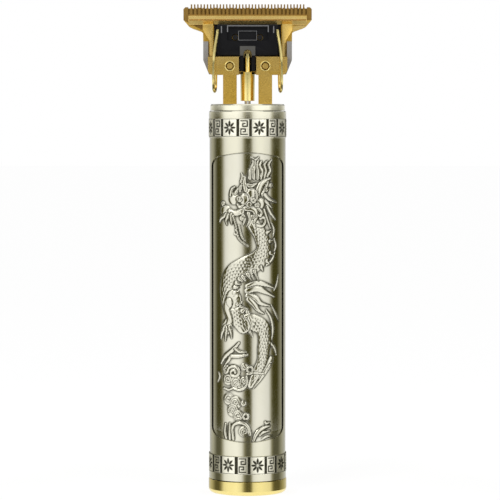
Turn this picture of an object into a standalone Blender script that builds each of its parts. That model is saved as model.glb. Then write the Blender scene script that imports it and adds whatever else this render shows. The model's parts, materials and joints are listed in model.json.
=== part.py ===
"""Cordless beard trimmer with a T-shaped blade, built as an assembly of separate pieces.

The tube stands on its end cap with +Z up. The origin is the centre of the cap's underside.
The front of the trimmer, where the drive pin shows between the two posts, faces -Y.
Sizes are in millimetres and MM turns them into metres.
"""

import math

import bmesh
import bpy
from mathutils import Matrix, Vector

MM = 0.001

# ---------------------------------------------------------------- fits
SEAT_GAP = 0.25         # between two fixed pieces that seat on each other
WALL_GAP = 0.3          # between a fixed piece and the wall it slides into
RUN_GAP = 0.35          # between a moving piece and what it passes
SHAFT_FIT = 0.1         # radial clearance of the shaft in its bushes
PRESS_GAP = 0.15        # radial clearance of pieces carried on the shaft

# ---------------------------------------------------------------- body
BAND_R = 12.0           # tube radius at the two patterned bands
GRIP_STEP = 0.18        # how far the grip lies below the bands
PANEL_DEPTH = 0.55      # recess of the two relief panels below the bands
BORE_R = 10.8           # bore of the tube
TUBE_LENGTH = 114.35
LOW_BAND = 7.6          # height of the lower band on the tube
TOP_BAND = 8.4
TUBE_CHAMFER = 0.3

CAP_R = 12.15           # polished end cap
CAP_HEIGHT = 4.3
CAP_ROUND = 1.3
CAP_FLOOR = 1.3
CAP_WINDOW_R = 7.0
SPIGOT_WALL = 0.75
SPIGOT_LENGTH = 4.7

COLLAR_R = 11.6         # top collar
COLLAR_RIM = 2.1
COLLAR_SPIGOT = 2.0
SEAL_SEAT_R = 2.6

PANEL_HALF_X = 11.15    # relief panel as seen from straight ahead
PANEL_CORNER = 3.5
PANEL_ARCH = 0.9        # how far its top and bottom edges bow outwards
PANEL_LOW = 4.4         # from the lower band to the panel
PANEL_HIGH = 4.3        # from the panel to the upper band

TUBE_LOW = CAP_HEIGHT + SEAT_GAP
TUBE_TOP = TUBE_LOW + TUBE_LENGTH
BODY_TOP = TUBE_TOP + COLLAR_RIM
INNER_R = BORE_R - WALL_GAP     # radius of everything that slides into the tube

# ---------------------------------------------------------------- charging socket
SOCKET_HALF_X = 3.75
SOCKET_HALF_Y = 1.3
SOCKET_WALL = 0.3
SOCKET_MOUTH_Z = 1.0
SOCKET_DEPTH = 5.6
TONGUE_HALF_X = 2.2
TONGUE_HALF_Y = 0.3
BOARD_THICK = 1.0
LIGHT_PIPE_R = 0.95
LIGHT_PIPE_Y = 4.4

# ---------------------------------------------------------------- core and battery
CORE_WALL = 1.0
BULKHEAD = 1.5
CABLE_HOLE_R = 3.0
CELL_R = 7.1
CELL_LENGTH = 50.0
CELL_Y = -1.5
TAB_THICK = 0.3
PAD_THICK = 2.4
PAD_R = 3.5
CELL_STOP = 1.5
CELL_STOP_R = 6.0
PCB_THICK = 1.2
PCB_HALF_X = 5.4
LEAD_R = 0.45

# ---------------------------------------------------------------- power switch
SWITCH_TRAVEL = 4.0
SWITCH_BELOW_CORE = 19.0    # from the top of the core down to the middle of the switch
NECK_HALF_X = 1.7
NECK_LENGTH = 6.0
KNOB_HALF_X = 2.3
KNOB_LENGTH = 7.0
KNOB_PROUD = 0.8
SLIDE_PLATE_THICK = 0.7
SLIDE_PLATE_HALF_X = 3.4
BEZEL_MARGIN = 2.1
BEZEL_SUNK = 0.1            # the bezel's face lies this far below the band radius

# ---------------------------------------------------------------- motor
MOTOR_R = 10.0
MOTOR_HALF_Y = 7.55
MOTOR_LENGTH = 25.0
MOTOR_WALL = 0.8
MOTOR_BOSS_R = 3.1
MOTOR_BOSS = 1.4
BELL_THICK = 3.0
BELL_PROUD = 1.0
BUSH_R = 1.95
SHAFT_R = 1.0
ROTOR_R = 5.7
ROTOR_LENGTH = 10.0
ROTOR_GAP = 0.5
HUB_R = 2.6
SHOE_THICK = 1.0
COMMUTATOR_R = 2.2
MAGNET_LENGTH = 15.0
TERMINAL_DROP = 1.8
WIRING_SPACE = 3.4          # free height between the core and the motor

# ---------------------------------------------------------------- mounting plates and screws
BRACKET_THICK = 2.5
FRAME_BASE = 2.5
SCREW_R = 0.95
SCREW_HEAD_R = 1.9
SCREW_HEAD = 1.1
MOTOR_SCREW_X = 6.2
FRAME_SCREW_Y = 7.0

# ---------------------------------------------------------------- head, heights above the collar
SEAT_LOW = BODY_TOP + 9.0
SEAT_HEIGHT = 5.6
SEAT_HALF_X = 12.3
SEAT_INNER_X = 2.7
SEAT_THICK = 1.8
SEAT_FRONT_Y = -4.1
SEAT_ROUND = 1.6
POST_INNER_X = 3.35
POST_OUTER_X = 7.6
POST_DEPTH = 3.2
BLADE_SCREW_X = 5.5
BLADE_SCREW_Z = SEAT_LOW + 2.75

CAM_R = 2.2
CAM_LOW = BODY_TOP + 1.0
CAM_HEIGHT = 8.9
PIN_R = 0.95
PIN_HEIGHT = 5.7
ECCENTRICITY = 1.0          # half the stroke of the cutter

CARRIER_HALF_X = 9.4
CARRIER_DEPTH = 4.3
CARRIER_HEIGHT = 9.7
FORK_ARM = 1.15
FORK_DEPTH = 3.2
FORK_PROUD = 0.6            # the fork's head stands this far out of the carrier
FORK_HEAD = 3.0
BASE_HALF_X = 13.75
CHEEK_INNER_X = 12.2
CHEEK_HEIGHT = 4.9
UPSTAND_IN_X = 9.35         # two upstands of the base close the gap beside the carrier
UPSTAND_OUT_X = 10.45
UPSTAND_THICK = 0.7

BLADE_HALF_X = 20.0
BLADE_TIP = BODY_TOP + 31.1
COMB_THICK = 1.5
COMB_TOOTH = 3.2
COMB_PITCH = 1.0
COMB_GAP = 0.45
COMB_GUARD = 1.5            # width of the solid tooth at each end
GUARD_BACK = 0.9            # the end teeth stop this far short of the others
COMB_LEG_HALF_X = 13.9
WING_DROP = 3.8             # from the tooth roots to the wing's outer corner
RAIL_INNER_X = 10.75
RAIL_THICK = 1.1
CUTTER_THICK = 0.9
CUTTER_BACK = 1.1           # the cutter's teeth stop this far short of the comb's
CUTTER_TOOTH = 2.1
CUTTER_PITCH = 1.25
CUTTER_GAP = 0.5
CUTTER_BAR = 2.7
CUTTER_BAR_THICK = 2.1
BLADE_GAP = 0.1             # oil gap between cutter and comb
RIVET_X = 3.8
RIVET_R = 0.8

SPRING_R = 0.475
SPRING_DROP = 5.1           # how far its loop hangs below the seat
SPRING_X = 10.5
SPRING_TIP_X = 9.2
SPRING_ANCHOR_X = SPRING_X - 0.65

# Worst lead of the drive pin over a cutter that moves in proportion to the shaft's angle.
_LAG_ANGLE = math.acos(2 / math.pi)
DRIVE_LAG = ECCENTRICITY * (math.sin(_LAG_ANGLE) - _LAG_ANGLE * 2 / math.pi)
SLOT_HALF_X = PIN_R + DRIVE_LAG + SHAFT_FIT

# ---------------------------------------------------------------- heights that follow
BOARD_LOW = SOCKET_MOUTH_Z + SOCKET_DEPTH + SEAT_GAP
CORE_LOW = CAP_HEIGHT + SPIGOT_LENGTH + SEAT_GAP
FRAME_TOP = TUBE_TOP - COLLAR_SPIGOT - WALL_GAP
FRAME_LOW = FRAME_TOP - FRAME_BASE
BRACKET_TOP = FRAME_LOW - WALL_GAP
BRACKET_LOW = BRACKET_TOP - BRACKET_THICK
MOTOR_TOP = BRACKET_LOW - SEAT_GAP
MOTOR_LOW = MOTOR_TOP - MOTOR_LENGTH
BELL_LOW = MOTOR_LOW - BELL_PROUD
BELL_TOP = BELL_LOW + BELL_THICK
CORE_TOP = BELL_LOW - WIRING_SPACE
CELL_LOW = CORE_LOW + BULKHEAD + SEAT_GAP + PAD_THICK + SEAT_GAP + TAB_THICK + SEAT_GAP
CELL_TOP = CELL_LOW + CELL_LENGTH
STOP_LOW = CELL_TOP + 2.3
PCB_Y = CELL_Y + CELL_R + 0.6
PCB_LOW = CORE_LOW + BULKHEAD + 1.3
PCB_TOP = CORE_TOP - BULKHEAD - 1.3
SWITCH_Z = CORE_TOP - SWITCH_BELOW_CORE
ROTOR_LOW = MOTOR_LOW + 8.0
MAGNET_LOW = ROTOR_LOW + ROTOR_LENGTH / 2 - MAGNET_LENGTH / 2
COMMUTATOR_LOW = BELL_TOP + 1.2

SEAT_TOP = SEAT_LOW + SEAT_HEIGHT
BASE_FRONT_Y = SEAT_FRONT_Y + SEAT_THICK + WALL_GAP
CARRIER_FRONT_Y = BASE_FRONT_Y
CARRIER_BACK_Y = CARRIER_FRONT_Y + CARRIER_DEPTH
CUTTER_FRONT_Y = CARRIER_BACK_Y + SEAT_GAP
COMB_FRONT_Y = CUTTER_FRONT_Y + CUTTER_THICK + BLADE_GAP
COMB_BACK_Y = COMB_FRONT_Y + COMB_THICK
BASE_LOW = SEAT_LOW + 0.3
BASE_TOP = SEAT_TOP - 0.1
BASE_BACK_Y = COMB_FRONT_Y - SEAT_GAP
SPRING_ANCHOR_Y = BASE_FRONT_Y + 1.0
CARRIER_LOW = SEAT_TOP + RUN_GAP
CARRIER_TOP = CARRIER_LOW + CARRIER_HEIGHT
CAM_TOP = CAM_LOW + CAM_HEIGHT
PIN_TOP = CAM_TOP + PIN_HEIGHT
FORK_LOW = CAM_TOP + RUN_GAP
FORK_HALF_X = SLOT_HALF_X + FORK_ARM
COMB_ROOT = BLADE_TIP - COMB_TOOTH
CUTTER_TIP = BLADE_TIP - CUTTER_BACK
CUTTER_ROOT = CUTTER_TIP - CUTTER_TOOTH
CUTTER_LOW = CUTTER_ROOT - CUTTER_BAR
CUTTER_HALF_X = BLADE_HALF_X - COMB_GUARD
UPSTAND_TOP = CUTTER_LOW - RUN_GAP
CHEEK_TOP = BASE_TOP + CHEEK_HEIGHT


# ---------------------------------------------------------------- scene and materials
def start_scene():
    for obj in list(bpy.data.objects):
        bpy.data.objects.remove(obj)
    parts = bpy.data.collections.new("beard_trimmer")
    cutters = bpy.data.collections.new("cutters")
    for collection in (parts, cutters):
        bpy.context.scene.collection.children.link(collection)
    return parts, cutters


PARTS, CUTTERS = start_scene()


def finish_of(name, colour, roughness, metallic):
    material = bpy.data.materials.new(name)
    material.use_nodes = True
    shader = material.node_tree.nodes["Principled BSDF"]
    shader.inputs["Base Color"].default_value = (*colour, 1.0)
    shader.inputs["Roughness"].default_value = roughness
    shader.inputs["Metallic"].default_value = metallic
    return material


ANTIQUE_BRASS = finish_of("antique_brass", (0.58, 0.56, 0.43), 0.3, 1.0)
POLISHED_GOLD = finish_of("polished_gold", (0.86, 0.68, 0.27), 0.15, 1.0)
TITANIUM_GOLD = finish_of("titanium_gold", (0.72, 0.52, 0.18), 0.28, 1.0)
BLACK_PLASTIC = finish_of("black_plastic", (0.012, 0.012, 0.014), 0.35, 0.0)
CORE_PLASTIC = finish_of("core_plastic", (0.06, 0.06, 0.065), 0.5, 0.0)
BRIGHT_STEEL = finish_of("bright_steel", (0.62, 0.62, 0.62), 0.22, 1.0)
MOTOR_STEEL = finish_of("motor_steel", (0.5, 0.5, 0.5), 0.35, 1.0)
LAMINATION = finish_of("lamination", (0.25, 0.25, 0.27), 0.5, 1.0)
COPPER = finish_of("copper", (0.72, 0.33, 0.16), 0.35, 1.0)
BRONZE = finish_of("bronze", (0.5, 0.36, 0.18), 0.4, 1.0)
FERRITE = finish_of("ferrite", (0.06, 0.06, 0.065), 0.7, 0.0)
CELL_WRAP = finish_of("cell_wrap", (0.08, 0.2, 0.42), 0.4, 0.0)
FOAM = finish_of("foam", (0.1, 0.1, 0.1), 0.95, 0.0)
BOARD_GREEN = finish_of("board_green", (0.02, 0.16, 0.07), 0.45, 0.0)
CLEAR_LIGHT = finish_of("clear_light", (0.85, 0.88, 0.9), 0.1, 0.0)
RED_WIRE = finish_of("red_wire", (0.5, 0.02, 0.02), 0.45, 0.0)
BLACK_WIRE = finish_of("black_wire", (0.02, 0.02, 0.02), 0.45, 0.0)
RUBBER = finish_of("rubber", (0.03, 0.03, 0.03), 0.7, 0.0)


# ---------------------------------------------------------------- building blocks
def add_object(name, data, material=None):
    """A part with a material, or a cutter without one."""
    obj = bpy.data.objects.new(name, data)
    if material is None:
        obj.hide_render = True
        obj.display_type = "WIRE"
        CUTTERS.objects.link(obj)
    else:
        data.materials.clear()
        data.materials.append(material)
        PARTS.objects.link(obj)
    return obj


def mesh_from(name, bm):
    mesh = bpy.data.meshes.new(name)
    bmesh.ops.recalc_face_normals(bm, faces=bm.faces)
    bm.to_mesh(mesh)
    bm.free()
    return mesh


def box(name, low, high, material=None, bevel=0.0):
    """A box from its lowest to its highest corner."""
    low, high = Vector(low) * MM, Vector(high) * MM
    bm = bmesh.new()
    bmesh.ops.create_cube(bm, size=1.0, matrix=Matrix.Diagonal((*(high - low), 1.0)))
    obj = add_object(name, mesh_from(name, bm), material)
    obj.location = (low + high) / 2
    if bevel:
        rounding = obj.modifiers.new("edges", "BEVEL")
        rounding.width = bevel * MM
        rounding.segments = 1
    return obj


def rod(name, radius, start, end, material=None, sides=24):
    """A cylinder between two points that differ along one axis."""
    start, end = Vector(start) * MM, Vector(end) * MM
    bm = bmesh.new()
    bmesh.ops.create_cone(bm, cap_ends=True, segments=sides, radius1=radius * MM,
                          radius2=radius * MM, depth=(end - start).length)
    obj = add_object(name, mesh_from(name, bm), material)
    obj.location = (start + end) / 2
    obj.rotation_mode = "QUATERNION"
    obj.rotation_quaternion = (end - start).to_track_quat("Z", "Y")
    return obj


def turned(name, profile, material=None, sides=48, ring=False):
    """A lathe part about Z. The profile of (radius, height) runs down the outer side;
    a ring's profile comes back up the inner side and closes."""
    mesh = bpy.data.meshes.new(name)
    points = [(r * MM, 0.0, z * MM) for r, z in profile]
    edges = [(i, i + 1) for i in range(len(points) - 1)]
    if ring:
        edges.append((len(points) - 1, 0))
    mesh.from_pydata(points, edges, [])
    obj = add_object(name, mesh, material)
    screw = obj.modifiers.new("turn", "SCREW")
    screw.steps = sides
    screw.render_steps = sides
    screw.use_merge_vertices = True
    screw.merge_threshold = 0.00001
    screw.use_smooth_shade = False
    return obj


def tube_ring(name, inner, outer, low, high, material=None, sides=24):
    profile = [(inner, high), (outer, high), (outer, low), (inner, low)]
    return turned(name, profile, material, sides, ring=True)


def outline_solid(name, outlines, thickness, material=None):
    """A flat plate from closed outlines in its own XY plane; the second and later ones are holes."""
    curve = bpy.data.curves.new(name, "CURVE")
    curve.dimensions = "2D"
    curve.fill_mode = "BOTH"
    curve.extrude = thickness * MM / 2
    for outline in outlines:
        spline = curve.splines.new("POLY")
        spline.points.add(len(outline) - 1)
        for point, (x, y) in zip(spline.points, outline):
            point.co = (x * MM, y * MM, 0.0, 1.0)
        spline.use_cyclic_u = True
    holder = bpy.data.objects.new(name + "_outline", curve)
    bpy.context.scene.collection.objects.link(holder)
    bpy.context.view_layer.update()
    graph = bpy.context.evaluated_depsgraph_get()
    flat = bpy.data.meshes.new_from_object(holder.evaluated_get(graph))
    bpy.data.objects.remove(holder)
    bm = bmesh.new()
    bm.from_mesh(flat)
    bmesh.ops.remove_doubles(bm, verts=bm.verts, dist=1e-7)
    bpy.data.meshes.remove(flat)
    return add_object(name, mesh_from(name, bm), material)


def upright_plate(name, outlines, front, back, material=None):
    """A plate whose outlines are (x, z), standing between two Y planes."""
    obj = outline_solid(name, outlines, back - front, material)
    obj.rotation_euler = (math.radians(90), 0.0, 0.0)
    obj.location = (0.0, (front + back) / 2 * MM, 0.0)
    return obj


def level_plate(name, outlines, low, high, material=None):
    """A plate whose outlines are (x, y), lying between two heights."""
    obj = outline_solid(name, outlines, high - low, material)
    obj.location = (0.0, 0.0, (low + high) / 2 * MM)
    return obj


def wire(name, points, radius, material):
    """A round wire through points, read from a smooth curve through them."""
    route = smooth_route([Vector(p) for p in points])
    curve = bpy.data.curves.new(name, "CURVE")
    curve.dimensions = "3D"
    curve.bevel_depth = radius * MM
    curve.bevel_resolution = 2
    curve.use_fill_caps = True
    spline = curve.splines.new("POLY")
    spline.points.add(len(route) - 1)
    for point, place in zip(spline.points, route):
        point.co = (*(place * MM), 1.0)
    return add_object(name, curve, material)


def smooth_route(points, between=2):
    """Catmull-Rom points through the given ones."""
    padded = [2 * points[0] - points[1], *points, 2 * points[-1] - points[-2]]
    route = []
    for a, b, c, d in zip(padded, padded[1:], padded[2:], padded[3:]):
        for step in range(between):
            t = step / between
            route.append(0.5 * (2 * b + (c - a) * t + (2 * a - 5 * b + 4 * c - d) * t * t
                                + (3 * b - a - 3 * c + d) * t ** 3))
    return [*route, points[-1]]


def combine(target, *others, operation="DIFFERENCE"):
    for other in others:
        modifier = target.modifiers.new(other.name, "BOOLEAN")
        modifier.operation = operation
        modifier.object = other
    return target


def arc(centre, radius, start, end, steps=6):
    """Points on an arc, angles in degrees."""
    turns = [math.radians(start + (end - start) * i / steps) for i in range(steps + 1)]
    return [(centre[0] + radius * math.cos(t), centre[1] + radius * math.sin(t)) for t in turns]


def mirrored(right_half):
    """A whole outline from its right half, which runs from the bottom up."""
    return [*right_half, *[(-x, y) for x, y in reversed(right_half)]]


def circle(centre, radius, steps=20):
    return arc(centre, radius, 0, 360 * (steps - 1) / steps, steps - 1)


def stadium(half_width, half_length, centre_z=0.0, steps=8):
    """An upright slot with round ends, as (x, z)."""
    straight = half_length - half_width
    top = arc((0, centre_z + straight), half_width, 0, 180, steps)
    bottom = arc((0, centre_z - straight), half_width, 180, 360, steps)
    return top + bottom


# ---------------------------------------------------------------- tube, collar and end cap
def panel_outline():
    """The relief panel seen from straight ahead: bowed top and bottom, round corners."""
    low = TUBE_LOW + LOW_BAND + PANEL_LOW
    high = TUBE_TOP - TOP_BAND - PANEL_HIGH
    flat = PANEL_HALF_X - PANEL_CORNER
    bow_r = (flat ** 2 + PANEL_ARCH ** 2) / (2 * PANEL_ARCH)
    spread = math.degrees(math.asin(flat / bow_r))
    top = high - PANEL_ARCH
    bottom = low + PANEL_ARCH
    half = arc((0, low + bow_r), bow_r, 270, 270 + spread, 4)
    half += arc((flat, bottom + PANEL_CORNER), PANEL_CORNER, 270, 360)[1:]
    half += arc((flat, top - PANEL_CORNER), PANEL_CORNER, 0, 90)
    half += arc((0, high - bow_r), bow_r, 90 - spread, 90, 4)[1:]
    return [*half, *[(-x, z) for x, z in reversed(half[1:-1])]]


def make_tube():
    grip_r = BAND_R - GRIP_STEP
    low_step = TUBE_LOW + LOW_BAND
    high_step = TUBE_TOP - TOP_BAND
    profile = [
        (BORE_R, TUBE_TOP),
        (BAND_R - TUBE_CHAMFER, TUBE_TOP),
        (BAND_R, TUBE_TOP - TUBE_CHAMFER),
        (BAND_R, high_step + GRIP_STEP),
        (grip_r, high_step),
        (grip_r, low_step),
        (BAND_R, low_step - GRIP_STEP),
        (BAND_R, TUBE_LOW),
        (BORE_R, TUBE_LOW),
    ]
    tube = turned("body_tube", profile, ANTIQUE_BRASS, 60, ring=True)
    for side, front, back in (("front", -BAND_R - 2, 0), ("rear", 0, BAND_R + 2)):
        sleeve = tube_ring(f"panel_{side}_sleeve", BAND_R - PANEL_DEPTH, BAND_R + 1,
                           TUBE_LOW + 1, TUBE_TOP - 1, sides=60)
        window = upright_plate(f"panel_{side}_window", [panel_outline()], front, back)
        combine(sleeve, window, operation="INTERSECT")
        combine(tube, sleeve)
    half_x, half_z = bezel_half_sizes()
    opening = upright_plate("switch_opening",
                            [stadium(half_x + SEAT_GAP, half_z + SEAT_GAP, SWITCH_Z)],
                            BORE_R - 4, BAND_R + 2)
    combine(tube, opening)


def make_end_cap():
    corner = arc((CAP_R - CAP_ROUND, CAP_ROUND), CAP_ROUND, 0, -90, 4)
    spigot_top = CAP_HEIGHT + SPIGOT_LENGTH
    spigot_bore = INNER_R - SPIGOT_WALL
    profile = [
        (spigot_bore, spigot_top),
        (INNER_R, spigot_top),
        (INNER_R, CAP_HEIGHT),
        (CAP_R, CAP_HEIGHT),
        *corner,
        (CAP_WINDOW_R, 0.0),
        (CAP_WINDOW_R, CAP_FLOOR),
        (spigot_bore, CAP_FLOOR),
    ]
    turned("end_cap", profile, POLISHED_GOLD, 48, ring=True)


def make_charging_socket():
    flange_r = CAP_WINDOW_R + 1.5
    plug_r = CAP_WINDOW_R - SEAT_GAP
    low, step, top = 0.4, CAP_FLOOR + SEAT_GAP, CAP_FLOOR + 1.5
    bezel = turned("port_bezel", [(0, top), (flange_r, top), (flange_r, step),
                                  (plug_r, step), (plug_r, low), (0, low)], BLACK_PLASTIC, 32)
    window_x, window_y = SOCKET_HALF_X + SEAT_GAP, SOCKET_HALF_Y + SEAT_GAP
    combine(bezel,
            box("socket_window", (-window_x, -window_y, -1), (window_x, window_y, top + 1)),
            rod("light_hole", LIGHT_PIPE_R + SEAT_GAP, (0, LIGHT_PIPE_Y, -1),
                (0, LIGHT_PIPE_Y, top + 1), sides=16))
    back = SOCKET_MOUTH_Z + SOCKET_DEPTH
    shell = box("charge_socket", (-SOCKET_HALF_X, -SOCKET_HALF_Y, SOCKET_MOUTH_Z),
                (SOCKET_HALF_X, SOCKET_HALF_Y, back), BRIGHT_STEEL)
    inner_x, inner_y = SOCKET_HALF_X - SOCKET_WALL, SOCKET_HALF_Y - SOCKET_WALL
    combine(shell, box("socket_mouth", (-inner_x, -inner_y, SOCKET_MOUTH_Z - 1),
                       (inner_x, inner_y, back - SOCKET_WALL)))
    box("charge_tongue", (-TONGUE_HALF_X, -TONGUE_HALF_Y, SOCKET_MOUTH_Z + 0.6),
        (TONGUE_HALF_X, TONGUE_HALF_Y, back - SOCKET_WALL - SEAT_GAP), BLACK_PLASTIC)
    rod("light_pipe", LIGHT_PIPE_R, (0, LIGHT_PIPE_Y, 0.5),
        (0, LIGHT_PIPE_Y, BOARD_LOW - SEAT_GAP), CLEAR_LIGHT, 16)
    rod("socket_board", INNER_R - SPIGOT_WALL - SEAT_GAP, (0, 0, BOARD_LOW),
        (0, 0, BOARD_LOW + BOARD_THICK), BOARD_GREEN, 32)


def make_collar():
    spigot_low = TUBE_TOP - COLLAR_SPIGOT
    rim_low = TUBE_TOP + SEAT_GAP / 2
    profile = [
        (SEAL_SEAT_R, BODY_TOP),
        (COLLAR_R - 0.4, BODY_TOP),
        (COLLAR_R, BODY_TOP - 0.4),
        (COLLAR_R, rim_low),
        (INNER_R, rim_low),
        (INNER_R, spigot_low),
        (SEAL_SEAT_R, spigot_low),
    ]
    collar = turned("top_collar", profile, ANTIQUE_BRASS, 48, ring=True)
    for side, sign in (("left", -1), ("right", 1)):
        xs = sorted((sign * (POST_INNER_X - WALL_GAP), sign * (POST_OUTER_X + WALL_GAP)))
        slot = box(f"post_slot_{side}",
                   (xs[0], SEAT_FRONT_Y - WALL_GAP, spigot_low - 1),
                   (xs[1], SEAT_FRONT_Y + POST_DEPTH + WALL_GAP, BODY_TOP + 1))
        combine(collar, slot)
    tube_ring("shaft_seal", SHAFT_R + WALL_GAP, SEAL_SEAT_R - SEAT_GAP, spigot_low + 0.8,
              BODY_TOP - WALL_GAP, RUBBER, 24)


# ---------------------------------------------------------------- core, battery and board
def make_core():
    bore = INNER_R - CORE_WALL
    stop_high = STOP_LOW + CELL_STOP
    profile = [
        (CABLE_HOLE_R, CORE_TOP),
        (INNER_R, CORE_TOP),
        (INNER_R, CORE_LOW),
        (CABLE_HOLE_R, CORE_LOW),
        (CABLE_HOLE_R, CORE_LOW + BULKHEAD),
        (bore, CORE_LOW + BULKHEAD),
        (bore, STOP_LOW),
        (CELL_STOP_R, STOP_LOW),
        (CELL_STOP_R, stop_high),
        (bore, stop_high),
        (bore, CORE_TOP - BULKHEAD),
        (CABLE_HOLE_R, CORE_TOP - BULKHEAD),
    ]
    reach = INNER_R + 2
    halves = (("core_front", -SEAT_GAP / 2, reach), ("core_rear", -reach, SEAT_GAP / 2))
    for name, near, far in halves:
        half = turned(name, profile, CORE_PLASTIC, 48, ring=True)
        combine(half, box(name + "_split", (-reach, near, CORE_LOW - 1),
                          (reach, far, CORE_TOP + 1)))
    rear = bpy.data.objects["core_rear"]
    low, high = slide_plate_span()
    window = box("switch_window",
                 (-SLIDE_PLATE_HALF_X - RUN_GAP, PCB_Y + PCB_THICK + 1, low - RUN_GAP),
                 (SLIDE_PLATE_HALF_X + RUN_GAP, reach, high + SWITCH_TRAVEL + RUN_GAP))
    board_slot = box("board_slot", (-PCB_HALF_X - WALL_GAP, CELL_STOP_R - 1.5, STOP_LOW - 1),
                     (PCB_HALF_X + WALL_GAP, PCB_Y + PCB_THICK + 1.5, stop_high + 1))
    combine(rear, window, board_slot)


def make_battery():
    rod("battery_cell", CELL_R, (0, CELL_Y, CELL_LOW), (0, CELL_Y, CELL_TOP), CELL_WRAP, 36)
    tab_x, tab_y = 2.5, 3.6
    for name, low in (("battery_tab_bottom", CELL_LOW - SEAT_GAP - TAB_THICK),
                      ("battery_tab_top", CELL_TOP + SEAT_GAP)):
        box(name, (-tab_x, CELL_Y - tab_y, low), (tab_x, CELL_Y + tab_y + 1.5, low + TAB_THICK),
            BRIGHT_STEEL)
    pad_low = CORE_LOW + BULKHEAD + SEAT_GAP
    rod("battery_pad", PAD_R, (0, CELL_Y, pad_low), (0, CELL_Y, pad_low + PAD_THICK), FOAM)


def make_board():
    face = PCB_Y + PCB_THICK
    box("circuit_board", (-PCB_HALF_X, PCB_Y, PCB_LOW), (PCB_HALF_X, face, PCB_TOP), BOARD_GREEN)
    chip_z = (PCB_LOW + SWITCH_Z) / 2
    box("control_chip", (-2.4, face + SEAT_GAP / 2, chip_z - 2.4),
        (2.4, face + 1.2, chip_z + 2.4), BLACK_PLASTIC)


def make_leads():
    top_tab = CELL_TOP + SEAT_GAP + TAB_THICK
    bottom_tab = CELL_LOW - SEAT_GAP - TAB_THICK
    board_end = PCB_Y - SEAT_GAP
    wire("battery_lead_positive",
         [(1.6, board_end - 3.0, top_tab + 0.7), (1.6, board_end - 2.2, top_tab + 1.2),
          (1.6, board_end - 1.6, top_tab + 2.3), (1.6, board_end - 1.2, top_tab + 3.9),
          (1.6, board_end - 0.7, top_tab + 4.8), (1.6, board_end, top_tab + 4.9)],
         LEAD_R, RED_WIRE)
    wire("battery_lead_negative",
         [(1.6, board_end - 3.0, bottom_tab - 0.7), (1.6, board_end - 2.0, bottom_tab - 1.0),
          (1.6, board_end - 1.0, bottom_tab - 1.0), (1.6, board_end, bottom_tab - 1.0)],
         LEAD_R, BLACK_WIRE)
    floor = BELL_LOW - TERMINAL_DROP
    for side, sign, colour in (("left", -1, BLACK_WIRE), ("right", 1, RED_WIRE)):
        wire(f"motor_lead_{side}",
             [(sign * 5.0, 0.0, floor - 0.7), (sign * 3.4, 0.1, floor - 0.9),
              (sign * 2.1, 0.4, CORE_TOP + 0.2), (sign * 1.7, 1.4, CORE_TOP - 1.6),
              (sign * 1.7, board_end - 2.6, CORE_TOP - 3.6),
              (sign * 1.7, board_end - 1.0, CORE_TOP - 4.5),
              (sign * 1.7, board_end, CORE_TOP - 4.5)], LEAD_R, colour)


# ---------------------------------------------------------------- power switch
def slide_plate_span():
    """Lowest and highest point of the knob's inner plate in the off position."""
    slot_half = NECK_LENGTH / 2 + SWITCH_TRAVEL / 2 + RUN_GAP
    half = slot_half + SWITCH_TRAVEL / 2 + 0.2
    centre = SWITCH_Z - SWITCH_TRAVEL / 2
    return centre - half, centre + half


def bezel_half_sizes():
    half_x = NECK_HALF_X + RUN_GAP + BEZEL_MARGIN
    half_z = NECK_LENGTH / 2 + SWITCH_TRAVEL / 2 + RUN_GAP + BEZEL_MARGIN + 1.0
    return half_x, half_z


def make_switch():
    half_x, half_z = bezel_half_sizes()
    bezel_face = BAND_R - BEZEL_SUNK
    slot_half = NECK_LENGTH / 2 + SWITCH_TRAVEL / 2 + RUN_GAP
    slot = stadium(NECK_HALF_X + RUN_GAP, slot_half, SWITCH_Z)
    upright_plate("switch_bezel", [stadium(half_x, half_z, SWITCH_Z), slot],
                  BORE_R + 0.1, bezel_face, BLACK_PLASTIC)

    low, high = slide_plate_span()
    middle = (low + high) / 2
    plate_back = math.sqrt(INNER_R ** 2 - SLIDE_PLATE_HALF_X ** 2)
    plate_front = plate_back - SLIDE_PLATE_THICK
    knob = box("switch_knob", (-SLIDE_PLATE_HALF_X, plate_front, low),
               (SLIDE_PLATE_HALF_X, plate_back, high), TITANIUM_GOLD)
    neck = upright_plate("knob_neck", [stadium(NECK_HALF_X, NECK_LENGTH / 2, middle)],
                         plate_back - 0.3, bezel_face + 0.5)
    head = upright_plate("knob_head", [stadium(KNOB_HALF_X, KNOB_LENGTH / 2, middle)],
                         bezel_face + SEAT_GAP, BAND_R + KNOB_PROUD)
    stem = box("knob_stem", (-0.8, plate_front - 1.4, middle - 1.0),
               (0.8, plate_front + 0.3, middle + 1.0))
    combine(knob, neck, head, stem, operation="UNION")
    for row in range(-2, 3):
        centre = middle + row * 0.95
        combine(knob, box(f"knob_groove_{row + 2}",
                          (-KNOB_HALF_X - 1, BAND_R + KNOB_PROUD - 0.25, centre - 0.18),
                          (KNOB_HALF_X + 1, BAND_R + KNOB_PROUD + 1, centre + 0.18)))

    face = PCB_Y + PCB_THICK
    housing_back = plate_front - RUN_GAP
    housing = box("slide_switch_housing", (-2.2, face + SEAT_GAP / 2, SWITCH_Z - 5.0),
                  (2.2, housing_back, SWITCH_Z + 5.0), BRIGHT_STEEL)
    combine(housing, box("housing_slot",
                         (-0.8 - RUN_GAP, plate_front - 1.4 - RUN_GAP, middle - 1.0 - RUN_GAP),
                         (0.8 + RUN_GAP, housing_back + 1,
                          middle + SWITCH_TRAVEL + 1.0 + RUN_GAP)))


# ---------------------------------------------------------------- motor
def flatted_rod(name, radius, half_y, low, high, material=None):
    """A cylinder with two flats, the outline of a flat-sided motor."""
    reach = math.degrees(math.acos(half_y / radius))
    outline = arc((0, 0), radius, -90 + reach, 90 - reach, 11)
    outline += arc((0, 0), radius, 90 + reach, 270 - reach, 11)
    return level_plate(name, [outline], low, high, material)


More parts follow.
